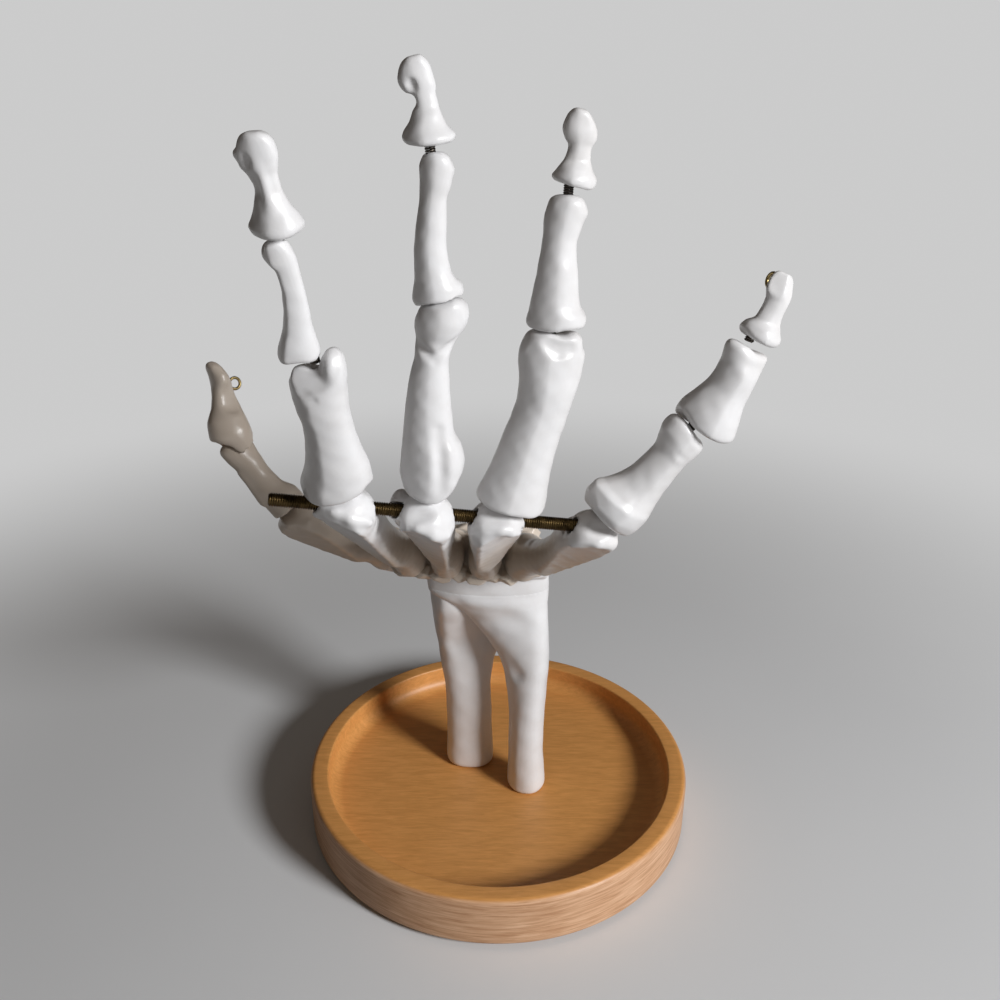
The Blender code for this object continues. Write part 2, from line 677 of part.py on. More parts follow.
def least_gap(path):
    """The least clear distance between stretches of the wire more than half a turn apart."""
    least = math.inf
    apart = SPRING_POINTS // 2
    for i, one in enumerate(path):
        for other in path[i + apart:]:
            least = min(least, (one - other).length - WIRE)
    return least


def fingertip_eye(name, frame, bone, below, tip):
    """A wire eye: a shank in a hole on the palm side, and an open loop."""
    length, waist_width = bone[0], bone[4]
    across, deep, along = axes(frame)
    first = below + JOINT_GAP + BASE_HEIGHT
    place_z = first + (length - first) * EYE_PLACE
    surface = waist_width * TIP_DEPTH_SHARE
    root = frame.translation + along * place_z
    path = [root + deep * (surface - EYE_GRIP),
            root + deep * (surface + EYE_STAND / 2)]
    middle = root + deep * (surface + EYE_STAND + EYE_RADIUS)
    arc = math.tau - math.radians(EYE_OPENING)
    for i in range(EYE_POINTS):
        turn = arc * i / (EYE_POINTS - 1)
        path.append(middle - deep * EYE_RADIUS * math.cos(turn) + along * EYE_RADIUS * math.sin(turn))
    eye = wire(name, path, EYE_WIRE, BRASS, frame)
    attach(eye, tip)
    hole = round_cutter(name + "_hole", root + deep * (surface - EYE_GRIP - SEAT_GAP), deep,
                        EYE_GRIP + EYE_STAND, flat_radius(EYE_WIRE / 2 + SEAT_GAP, 8), 8)
    combine(tip, hole)


def build_finger(finger):
    data = FINGERS[finger]
    frames = finger_frames(finger)
    thumb = finger == "thumb"
    names = THUMB_BONE_NAMES if thumb else BONE_NAMES
    springs = THUMB_SPRING_NAMES if thumb else SPRING_NAMES
    below = data["knuckle"]
    parent = None
    for index, (name, frame, bone) in enumerate(zip(names, frames, data["bones"])):
        node = f"{name}_{finger}"
        joint_spring(f"{springs[index]}_{finger}", frame, below)
        print_joint(springs[index].replace("_spring", "") + "_" + finger, frame)
        if index < len(names) - 1:
            parent, below = finger_bone(node, frame, bone, below, frames[index + 1], parent)
        else:
            tip = tip_bone(node, frame, bone, below, parent)
            fingertip_eye(f"fingertip_eye_{finger}", frame, bone, below, tip)


def print_joint(name, frame):
    """The hinge that bends a finger towards the palm: its place and axis in metres."""
    place_at = [round(value * MM, 6) for value in frame.translation]
    axis = [round(-value, 6) for value in axes(frame)[0]]
    print("joint", name, place_at, axis)


def main():
    build_pad()
    build_tray()
    build_screws()
    build_forearm()
    build_carpals()
    build_palm()
    build_rod()
    for finger in FINGERS:
        build_finger(finger)


main()
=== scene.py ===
"""Looks of the skeleton hand jewelry holder: moulded bones, joint springs, a threaded knuckle rod
and a turned wooden tray. Shapes are made in millimetres, in the frame of the piece that they
belong to, and turned into metres where the pieces are placed. Back is the -Y side, which is the
back of the hand and faces the camera, and front is the +Y side, where the palm is."""

import json
import math

import bmesh
import bpy
import numpy as np
from mathutils import Matrix, Vector

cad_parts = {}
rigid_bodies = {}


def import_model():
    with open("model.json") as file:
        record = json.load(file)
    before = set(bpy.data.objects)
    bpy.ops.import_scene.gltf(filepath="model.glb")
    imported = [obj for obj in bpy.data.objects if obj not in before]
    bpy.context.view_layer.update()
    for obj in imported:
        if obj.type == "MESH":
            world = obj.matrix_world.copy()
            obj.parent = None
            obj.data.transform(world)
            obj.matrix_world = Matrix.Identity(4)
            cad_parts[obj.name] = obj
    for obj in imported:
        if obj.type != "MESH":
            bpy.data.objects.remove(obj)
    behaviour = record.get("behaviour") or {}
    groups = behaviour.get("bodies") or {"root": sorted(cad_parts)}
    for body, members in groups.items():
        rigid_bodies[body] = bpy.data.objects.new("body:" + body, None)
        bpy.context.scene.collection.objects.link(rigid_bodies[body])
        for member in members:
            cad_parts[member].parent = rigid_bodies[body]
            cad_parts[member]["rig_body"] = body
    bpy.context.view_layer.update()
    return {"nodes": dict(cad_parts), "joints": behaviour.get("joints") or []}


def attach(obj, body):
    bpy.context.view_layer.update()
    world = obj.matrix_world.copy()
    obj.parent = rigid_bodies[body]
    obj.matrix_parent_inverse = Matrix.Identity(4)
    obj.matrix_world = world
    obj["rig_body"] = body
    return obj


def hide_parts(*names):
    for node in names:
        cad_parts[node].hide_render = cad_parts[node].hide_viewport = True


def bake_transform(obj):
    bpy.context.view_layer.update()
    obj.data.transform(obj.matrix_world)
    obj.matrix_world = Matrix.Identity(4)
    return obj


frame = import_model()

MM = 0.001
JOINTS = {joint["name"]: joint for joint in frame["joints"]}
# The joint under each bone of a finger, and the bones of each finger
JOINT_OF = {"proximal_phalanx": "knuckle", "middle_phalanx": "middle", "distal_phalanx": "end"}
FINGER_BONES = {finger: list(JOINT_OF) for finger in ("index", "middle", "ring", "little")}
FINGER_BONES["thumb"] = ["proximal_phalanx", "distal_phalanx"]

# Sizes shared by the bones, in mm
BONE_STEP = 0.31          # distance between the points that a finger bone is sampled on
PALM_STEP = 0.42          # the same for the palm bones and the wrist
ARM_STEP = 0.5            # the same for the forearm bones
SOCKET_RADIUS = 1.06      # hole that a joint spring sits in
SOCKET_DEPTH = 1.5        # how far it goes down into the head below the joint
SOCKET_TOP = 2.7          # how far it goes up past that head's crown
SOCKET_RUN = 6            # how far a cut for it goes on, past the end of a bone
JOINT_SEAM = 0.35         # left between a head and the bone on it, wherever the joint turns
# Unevenness of the surfaces: height and length of its waves
BONE_RIPPLE, PALM_RIPPLE = (0.03, 7.0), (0.06, 8.0)
WRIST_RIPPLE, ARM_RIPPLE = (0.14, 6.0), (0.055, 15.0)
# Radius of the head under each knuckle, and height of the crowns of the heads above it
KNUCKLE = {"index": 6.3, "middle": 6.5, "ring": 6.4, "little": 5.8, "thumb": 6.0}
HEADS = {"index": (4.66, 3.17), "middle": (4.75, 3.34), "ring": (5.10, 3.70),
         "little": (4.05, 3.26), "thumb": (4.22,)}

# Every finger bone, in mm, in the frame of the joint below it (x across, y to the palm, z along):
# radius of its head seen from the side, place of its ridge between the left (0) and the right (1),
# tilt of its ends, rows of its outline (height, left edge, right edge), then its upper and its
# lower end as (x, height)
BONES = {
    ("index", "proximal_phalanx"): (4.4, 0.42, 0.40, [
        (4.4, -7.6, 5.6), (7.0, -8.2, 6.4), (10, -8.2, 7.0), (13.6, -6.9, 7.0), (16, -6.2, 6.7),
        (20.5, -5.4, 5.6), (26, -5.1, 4.9), (30, -5.8, 4.7), (34, -6.1, 4.9), (39, -6.0, 5.3),
        (43, -6.0, 5.4)],
        [(-6, 37.6), (-4.6, 38.9), (-2.7, 39.0), (-0.9, 38.7), (0.2, 39.0), (1.0, 40.8),
         (2.0, 42.3), (3.4, 43.0), (4.6, 42.6), (5.6, 40.8)],
        [(-8.3, 7.6), (-7.0, 6.0), (-4.6, 5.5), (-1.4, 5.9), (2.3, 6.9), (5.0, 8.4), (6.8, 10.4)]),
    ("index", "middle_phalanx"): (3.0, 0.30, 0.28, [
        (3.4, -6.4, 1.2), (5.4, -6.6, 1.6), (7.5, -6.0, 1.7), (12, -3.6, 1.8), (17, -2.1, 2.3),
        (20, -1.7, 2.4), (23, -1.8, 2.5), (25, -2.8, 2.5), (28.5, -2.9, 2.4)],
        [(-3, 26.8), (-2.1, 27.9), (-1.0, 28.3), (0.3, 28.4), (1.6, 28.0), (2.7, 26.8)],
        [(-6.8, 5.6), (-5.6, 4.7), (-4.2, 4.5), (-1.4, 4.5), (0.2, 4.2), (1.6, 4.4)]),
    ("index", "distal_phalanx"): (2.0, 0.50, 0.17, [
        (3.4, -4.6, 4.8), (5.6, -4.8, 5.0), (7.2, -4.0, 4.4), (9.8, -2.9, 2.9), (12.4, -2.3, 2.2),
        (14.3, -3.0, 2.0), (16, -4.1, 2.4), (18.3, -4.4, 2.8), (22, -4.2, 2.8)],
        [(-4.2, 18.8), (-3.6, 20.0), (-2.7, 20.9), (-1.3, 21.3), (0.2, 21.3), (1.4, 20.9),
         (2.4, 20.0), (3, 18.8)],
        [(-4.8, 5.0), (-3.4, 4.3), (-1.2, 3.9), (0.9, 3.8), (2.8, 4.1), (4.2, 4.8), (5.1, 5.8)]),
    ("middle", "proximal_phalanx"): (4.6, 0.50, 0.24, [
        (5.0, -5.2, 5.6), (8, -5.8, 6.0), (12, -6.1, 7.0), (15.5, -6.0, 7.2), (19, -5.9, 6.4),
        (22, -5.8, 4.7), (26, -5.7, 3.9), (33.5, -5.2, 2.8), (38, -4.5, 2.4), (41.5, -4.4, 3.2),
        (44.0, -4.8, 4.4), (46.4, -4.9, 5.2), (51, -4.8, 5.2)],
        [(-5, 47.4), (-3.6, 48.5), (-1.7, 48.9), (-0.2, 49.2), (1.4, 49.8), (2.6, 50.2),
         (3.8, 50.2), (4.8, 49.5), (5.7, 48.0)],
        [(-6.2, 11), (-4.9, 8.0), (-3.4, 6.6), (-0.5, 5.8), (1.8, 5.7), (3.9, 6.8), (5.4, 8.6),
         (7.2, 12.2)]),
    ("middle", "middle_phalanx"): (3.3, 0.46, 0.12, [
        (3.9, -4.9, 4.2), (5.5, -5.0, 4.5), (7.5, -4.7, 4.4), (9.5, -4.4, 3.3), (11, -4.3, 2.6),
        (14.7, -4.2, 2.0), (20, -3.5, 2.1), (24, -2.8, 2.3), (27, -2.6, 3.3), (30, -2.6, 4.0),
        (33, -2.6, 4.0)],
        [(-2.6, 31.3), (-1.6, 32.0), (0.0, 32.2), (1.5, 32.2), (2.9, 31.7), (4, 30.6)],
        [(-5.2, 4.6), (-4.3, 4.0), (-2.4, 4.5), (-0.6, 4.9), (1.1, 4.9), (2.9, 5.0), (4.6, 6.0)]),
    ("middle", "distal_phalanx"): (2.0, 0.42, 0.05, [
        (3.2, -4.9, 4.7), (5.2, -5.0, 5.1), (7, -4.3, 3.9), (9, -2.7, 3.1), (11, -1.9, 2.7),
        (12.6, -2.0, 2.5), (14.2, -2.9, 2.8), (16, -3.5, 2.8), (20, -3.5, 2.8)],
        [(-3.6, 16.0), (-3.2, 17.4), (-2.4, 18.5), (-1.2, 19.1), (0.5, 19.2), (1.7, 18.4),
         (2.5, 17.2), (2.9, 15.7)],
        [(-5.1, 6.0), (-4.1, 5.1), (-2.6, 4.6), (-0.7, 4.3), (1.5, 4.2), (3.8, 4.3), (5.2, 5.0)]),
    ("ring", "proximal_phalanx"): (4.9, 0.42, 0.20, [
        (3.8, -5.8, 8.4), (6, -6.8, 9.0), (9, -6.4, 8.7), (14, -5.4, 7.8), (21, -4.7, 7.2),
        (29, -4.0, 7.3), (34, -4.7, 7.4), (38, -6.0, 7.5), (41, -6.7, 7.2), (46, -6.6, 6.4)],
        [(-6.8, 42.6), (-5.6, 44.4), (-4.4, 44.9), (-2.6, 45.0), (-1.2, 44.9), (-0.1, 44.9),
         (1.1, 45.2), (2.4, 45.9), (3.6, 46.3), (5.0, 46.0), (6.4, 44.4)],
        [(-7.1, 7.6), (-5.6, 5.8), (-3.6, 5.0), (-1.0, 4.9), (2.0, 4.9), (5.0, 4.8), (7.4, 5.4),
         (9.0, 6.8)]),
    ("ring", "middle_phalanx"): (3.6, 0.46, 0.10, [
        (4.4, -5.2, 6.4), (7.5, -5.4, 6.7), (9.5, -5.2, 6.5), (12, -5.0, 4.9), (18, -4.5, 3.6),
        (24, -4.2, 2.6), (27, -4.3, 3.2), (30.2, -4.3, 4.2), (34, -4.2, 4.2)],
        [(-4.4, 30.8), (-3.4, 32.0), (-1.4, 32.5), (0.9, 32.6), (2.6, 32.2), (4.2, 31.0)],
        [(-5.4, 7.0), (-3.9, 6.2), (-1.4, 6.3), (1.0, 6.8), (3.4, 7.1), (5.5, 7.3), (6.8, 8.2)]),
    ("ring", "distal_phalanx"): (2.0, 0.40, 0.07, [
        (4.0, -3.5, 5.2), (6.2, -3.6, 5.2), (8, -2.6, 4.3), (10, -1.3, 3.7), (12.2, -0.8, 3.6),
        (13.6, -1.4, 4.3), (15.4, -2.0, 4.4), (20, -2.0, 4.4)],
        [(-2.0, 16.4), (-1.2, 18.0), (0.2, 18.9), (1.9, 18.6), (3.3, 17.2), (4.2, 15.4),
         (4.7, 13.8)],
        [(-3.6, 6.4), (-2.5, 5.8), (-0.4, 5.2), (1.6, 4.8), (3.6, 4.4), (5.2, 4.7)]),
    ("little", "proximal_phalanx"): (4.0, 0.42, 0.20, [
        (3.6, -6.0, 6.2), (6.4, -8.0, 6.4), (9.2, -9.7, 6.5), (11.8, -9.6, 6.2), (13.6, -7.6, 5.8),
        (16.5, -5.6, 5.1), (20, -4.8, 4.6), (25.5, -4.5, 4.1), (28.5, -5.5, 4.5), (31, -6.6, 5.0),
        (35, -6.6, 4.8)],
        [(-6.8, 32.4), (-6.2, 33.8), (-5.0, 34.3), (-2.9, 33.8), (-0.9, 33.0), (1.5, 32.3),
         (3.8, 32.0), (5.2, 30.8)],
        [(-9.8, 9.2), (-7.6, 6.8), (-4.4, 5.6), (-1.2, 5.0), (2.4, 4.8), (6.2, 6.6)]),
    ("little", "middle_phalanx"): (3.2, 0.40, 0.15, [
        (2.6, -4.9, 9.2), (5.2, -5.1, 9.6), (8, -5.0, 8.6), (11, -4.1, 7.4), (14.5, -3.1, 6.5),
        (18.5, -3.2, 6.0), (21.5, -4.3, 5.9), (25, -5.2, 5.8)],
        [(-5.2, 22.6), (-4.6, 23.6), (-2.8, 23.9), (-0.4, 23.7), (1.5, 23.3), (3.8, 23.6),
         (5.9, 23.9)],
        [(-5.2, 6.0), (-2.6, 4.3), (0.4, 3.6), (3.6, 3.4), (6.9, 3.8), (9.6, 5.2)]),
    ("little", "distal_phalanx"): (1.8, 0.45, 0.12, [
        (1.6, -3.0, 6.4), (4, -3.1, 6.3), (5.6, -2.5, 5.5), (7.4, -1.2, 4.7), (9.5, -0.9, 4.3),
        (11.5, -1.1, 4.3), (13.5, -2.0, 4.3), (18, -2.4, 4.2)],
        [(-2.6, 14.6), (-1.8, 16.2), (-0.4, 17.1), (1.6, 17.0), (3.4, 15.9), (4.4, 14.4)],
        [(-3.2, 4.6), (-1.6, 3.4), (0.7, 2.7), (3.4, 2.5), (5.6, 2.8), (6.6, 3.8)]),
    ("thumb", "proximal_phalanx"): (4.1, 0.5, 0.0, [
        (3.8, -5.4, 5.4), (6, -6.0, 6.0), (8.5, -5.9, 5.9), (12.5, -4.4, 4.4), (17, -3.7, 3.7),
        (21, -3.7, 3.7), (25.4, -3.8, 3.8), (29, -3.7, 3.7)],
        [(-5, 27.6), (-3, 28.2), (0, 28.4), (3, 28.2), (5, 27.6)],
        [(-6, 5.6), (-3, 5.0), (0, 5.2), (3, 5.0), (6, 5.6)]),
    ("thumb", "distal_phalanx"): (2.4, 0.5, 0.0, [
        (-2, -5.4, 5.4), (1.5, -5.8, 5.8), (4.5, -5.9, 5.9), (8, -5.0, 5.0), (12, -3.4, 3.4),
        (15, -2.9, 2.9), (18, -3.7, 3.7), (24, -3.2, 3.2)],
        [(-3.6, 20.4), (-2, 22.2), (0, 23.0), (2, 22.2), (3.6, 20.4)],
        [(-6, -0.3), (-4.7, -0.9), (-3.6, 1.6), (0, 3.4), (3.6, 1.6), (4.7, -0.9), (6, -0.3)]),
}

# Fields: blocks of points that hold the distance to a surface, negative inside

FAR = 50.0                # what a field holds before a shape is added
STONE_SIDES = 12
GOLDEN_ANGLE = 2.39996


def hermite(at, places, values):
    """Smooth values between places, without overshoot."""
    places, values = np.asarray(places, float), np.asarray(values, float)
    rise = np.diff(values) / np.diff(places)
    both = rise[1:] * rise[:-1]
    same = both > 0
    slope = np.zeros(len(values))
    slope[1:-1][same] = 2 * both[same] / (rise[1:] + rise[:-1])[same]
    i = np.clip(np.searchsorted(places, at) - 1, 0, len(places) - 2)
    span = places[i + 1] - places[i]
    t = np.clip((at - places[i]) / span, 0, 1)
    return (values[i] * (1 + 2 * t) * (1 - t) ** 2 + slope[i] * span * t * (1 - t) ** 2
            + values[i + 1] * t * t * (3 - 2 * t) + slope[i + 1] * span * t * t * (t - 1))


def soft_min(a, b, blend):
    """The smaller value, rounded off where the two are closer than blend."""
    if blend <= 0:
        return np.minimum(a, b)
    h = np.clip(0.5 + 0.5 * (b - a) / blend, 0, 1)
    return b + (a - b) * h - blend * h * (1 - h)


class Field:
    """The distance to a surface, on points one step apart in a box."""

    def __init__(self, low, high, step):
        self.low, self.step = np.array(low, float), step
        lines = [np.arange(a, b + step, step, dtype=np.float32) for a, b in zip(low, high)]
        self.x = lines[0][:, None, None]
        self.y = lines[1][None, :, None]
        self.z = lines[2][None, None, :]
        self.value = np.full([len(line) for line in lines], FAR, np.float32)

    def add(self, shape, blend=0.0):
        """Joins a shape on; blend is how wide the edge between the two is rounded."""
        self.value = soft_min(self.value, shape, blend)

    def cut(self, shape, blend=0.0):
        """Takes a shape away."""
        self.value = -soft_min(-self.value, shape, blend)

    def keep(self, shape, blend=0.0):
        """Keeps only what lies inside a shape."""
        self.value = -soft_min(-self.value, -shape, blend)

    def offsets(self, point):
        """How far the field's points lie from a point along x, y and z."""
        return [axis - at for axis, at in zip((self.x, self.y, self.z), point)]

    def ball(self, middle, radii):
        """An ellipsoid along the axes."""
        offsets = self.offsets(middle)
        near = np.sqrt(sum((o / r) ** 2 for o, r in zip(offsets, radii)))
        steep = np.sqrt(sum((o / (r * r)) ** 2 for o, r in zip(offsets, radii)))
        return near * (near - 1) / np.maximum(steep, 1e-4)

    def rod(self, start, end, radius, end_radius=None):
        """A round bar with round ends."""
        end_radius = radius if end_radius is None else end_radius
        start, end = np.array(start, float), np.array(end, float)
        run = end - start
        offsets = self.offsets(start)
        share = np.clip(sum(o * r for o, r in zip(offsets, run)) / (run @ run), 0, 1)
        away = np.sqrt(sum((o - share * r) ** 2 for o, r in zip(offsets, run)))
        return away - radius - (end_radius - radius) * share

    def column(self, rows, powers):
        """An endless oval bar along z. Rows are (z, ridge x, ridge y, turn, then the reach to the
        left, right, back and front); powers tell how square its back left, back right, front
        left and front right quarters are."""
        z = self.z[0, 0, :]
        table = np.array(rows, float)
        cx, cy, turn, left, right, back, front = (
            hermite(z, table[:, 0], table[:, i])[None, None, :] for i in range(1, 8))
        turn = np.radians(turn)
        dx, dy = self.x - cx, self.y - cy
        across = dx * np.cos(turn) + dy * np.sin(turn)
        deep = dy * np.cos(turn) - dx * np.sin(turn)
        power = np.where(deep < 0, np.where(across < 0, powers[0], powers[1]),
                         np.where(across < 0, powers[2], powers[3]))
        a = np.where(across < 0, left, right)
        b = np.where(deep < 0, back, front)
        u, v = np.abs(across) / a, np.abs(deep) / b
        near = (u ** power + v ** power) ** (1 / power)
        steep = np.sqrt((u ** (power - 1) / a) ** 2 + (v ** (power - 1) / b) ** 2)
        steep = steep / np.maximum(near, 1e-3) ** (power - 1)
        return (near - 1) / np.maximum(steep, 0.08)

    def stone(self, middle, radii, turn):
        """A stone with flat sides, spread evenly over it."""
        shape = -np.inf
        for i in range(STONE_SIDES):
            rise = 1 - (2 * i + 1) / STONE_SIDES
            around = GOLDEN_ANGLE * i + turn
            flat = math.sqrt(1 - rise * rise)
            far = 0.86 + 0.14 * math.cos(3 * i + turn)
            side = ((self.x - middle[0]) / radii[0] * flat * math.cos(around)
                    + (self.y - middle[1]) / radii[1] * flat * math.sin(around)
                    + (self.z - middle[2]) / radii[2] * rise)
            shape = np.maximum(shape, (side - far) * min(radii))
        return shape

    def over(self, point, normal):
        """Height over a plane whose normal has the length 1."""
        return sum(away * part for away, part in zip(self.offsets(point), normal))

    def plane(self, point, normal):
        """Positive on the side that the normal points to."""
        return self.over(point, Vector(normal).normalized())

    def end(self, curve, tilt):
        """Height above an end that is given as (x, height)."""
        table = np.array(curve, float)
        height = hermite(self.x[:, 0, 0], table[:, 0], table[:, 1])[:, None, None]
        slope = np.gradient(height[:, 0, 0], self.step)[:, None, None]
        return (self.z - height + tilt * self.y) / np.sqrt(1 + slope ** 2 * 0.6 + tilt ** 2)

    def wave(self, length):
        """Slow unevenness, as on a moulded bone."""
        k = math.tau / length
        return (np.sin(k * (self.x + 0.6 * self.z) + 1.3) * np.sin(k * (self.y - 0.4 * self.z))
                + np.sin(k * 1.7 * (self.z + 0.5 * self.y) + 0.7)
                * np.sin(k * 1.3 * (self.x - self.y)))

    def ripple(self, amount, length):
        """Makes the surface a little uneven."""
        self.value = self.value + amount * self.wave(length)

    def mesh(self, name, rounds=2):
        """The surface where the field is zero, as a closed mesh of quads: a point in each cell
        that it passes through, and a quad round each edge between two points that it cuts."""
        inside = self.value < 0
        # Nothing is inside on the sides of the box, so that the surface closes
        inside[[0, -1]] = inside[:, [0, -1]] = inside[:, :, [0, -1]] = False
        cells = tuple(size - 1 for size in inside.shape)
        total = np.zeros(cells + (3,), np.float32)
        count = np.zeros(cells, np.float32)
        edges = []
        for axis in range(3):
            low, high = [slice(None)] * 3, [slice(None)] * 3
            low[axis], high[axis] = slice(0, -1), slice(1, None)
            low, high = tuple(low), tuple(high)
            spots = np.nonzero(inside[low] != inside[high])
            a, b = self.value[low][spots], self.value[high][spots]
            edges.append((spots, inside[low][spots]))
            point = np.stack(spots, 1).astype(np.float32)
            point[:, axis] += a / (a - b)
            others = [other for other in range(3) if other != axis]
            for shift in ((0, 0), (0, 1), (1, 0), (1, 1)):
                cell = cells_before(spots, others, shift)
                np.add.at(total, cell, point)
                np.add.at(count, cell, 1)
        used = count > 0
        number = np.full(used.shape, -1, np.int64)
        number[used] = np.arange(int(used.sum()))
        points = total[used] / count[used][:, None] * self.step + self.low.astype(np.float32)
        faces = []
        for axes, (spots, starts_inside) in zip(((1, 2), (2, 0), (0, 1)), edges):
            quad = np.stack([number[cells_before(spots, axes, shift)]
                             for shift in ((1, 1), (0, 1), (0, 0), (1, 0))], 1)
            quad[~starts_inside] = quad[~starts_inside][:, ::-1]
            faces.append(quad)
        faces = np.concatenate(faces)
        return make_mesh(name, relax(points, faces, rounds).tolist(), faces.tolist())


def cells_before(spots, axes, shift):
    """The cells that lie a shift before the spots along two axes."""
    cell = list(spots)
    for axis, count in zip(axes, shift):
        cell[axis] = cell[axis] - count
    return tuple(cell)


def relax(points, faces, rounds):
    """Evens out the mesh: each round pulls points together and then pushes them back."""
    pairs = np.concatenate([faces[:, [i, (i + 1) % 4]] for i in range(4)])
    degree = np.bincount(pairs.ravel(), minlength=len(points)).astype(np.float32)[:, None]
    for _ in range(rounds):
        for push in (0.5, -0.52):
            near = np.zeros_like(points)
            for axis in range(3):
                near[:, axis] = (np.bincount(pairs[:, 0], points[pairs[:, 1], axis], len(points))
                                 + np.bincount(pairs[:, 1], points[pairs[:, 0], axis], len(points)))
            points = points + push * (near / degree - points)
    return points


# Placing pieces

TIP_SLICE, ROOT_SLICE = 0.8, 0.7        # depth of the slices that the ends of nodes are found from


def make_mesh(name, points, faces):
    """A mesh with smooth shading."""
    mesh = bpy.data.meshes.new(name)
    mesh.from_pydata(points, [], faces)
    mesh.shade_smooth()
    return mesh


def add_object(name, data):
    """An object in the scene."""
    obj = bpy.data.objects.new(name, data)
    bpy.context.scene.collection.objects.link(obj)
    return obj


def add_piece(name, mesh, matrix, material):
    """An object from a mesh in mm, made in the frame of matrix."""
    mesh.transform(Matrix.Scale(MM, 4) @ matrix)
    mesh.materials.append(material)
    return add_object(name, mesh)


def place(name, mesh, matrix, material, node):
    """A rigid piece that stands for a CAD node."""
    obj = add_piece(name, mesh, matrix, material)
    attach(obj, frame["nodes"][node]["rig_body"])
    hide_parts(node)


def place_bone(name, field, matrix, material, node, rounds=2):
    """A rigid piece from the field of a bone."""
    place(name, field.mesh(node, rounds), matrix, material, node)


def node_points(node):
    """The CAD node's vertices in mm."""
    mesh = frame["nodes"][node].data
    points = np.zeros(len(mesh.vertices) * 3, np.float32)
    mesh.vertices.foreach_get("co", points)
    return points.reshape(-1, 3).astype(float) / MM


def frame_at(start, along, across):
    """X across, Y towards the palm, Z along."""
    along = along.normalized()
    x = (across - along * across.dot(along)).normalized()
    matrix = Matrix((x, along.cross(x), along)).transposed().to_4x4()
    matrix.translation = start
    return matrix


def axis_of(matrix, i):
    """X, Y or Z of a frame, as a heading."""
    return matrix.col[i].to_3d()


def far_end(node, start):
    """The middle of the CAD node's vertices that lie farthest from a point."""
    points = node_points(node)
    away = np.linalg.norm(points - np.array(start), axis=1)
    return Vector(points[away > away.max() - TIP_SLICE].mean(0))


def joint_place(name):
    """A point on a joint's axis, in mm."""
    return Vector(JOINTS[name]["pos_m"]) / MM


def bone_frames(finger):
    """For each bone of a finger its name and its frame, with the origin on the joint below it."""
    names = FINGER_BONES[finger]
    joints = [f"{JOINT_OF[name]}_{finger}" for name in names]
    starts = [joint_place(joint) for joint in joints]
    ends = starts[1:] + [far_end(f"{names[-1]}_{finger}", starts[-1])]
    return [(name, frame_at(start, end - start, -Vector(JOINTS[joint]["axis"])))
            for name, joint, start, end in zip(names, joints, starts, ends)]


def into(matrix, point):
    """A point of the object in the frame of matrix."""
    return matrix.inverted() @ point


def heading_in(matrix, heading):
    """A heading of the object in the frame of matrix, with the length 1."""
    return (matrix.inverted().to_3x3() @ heading).normalized()


# Finger bones

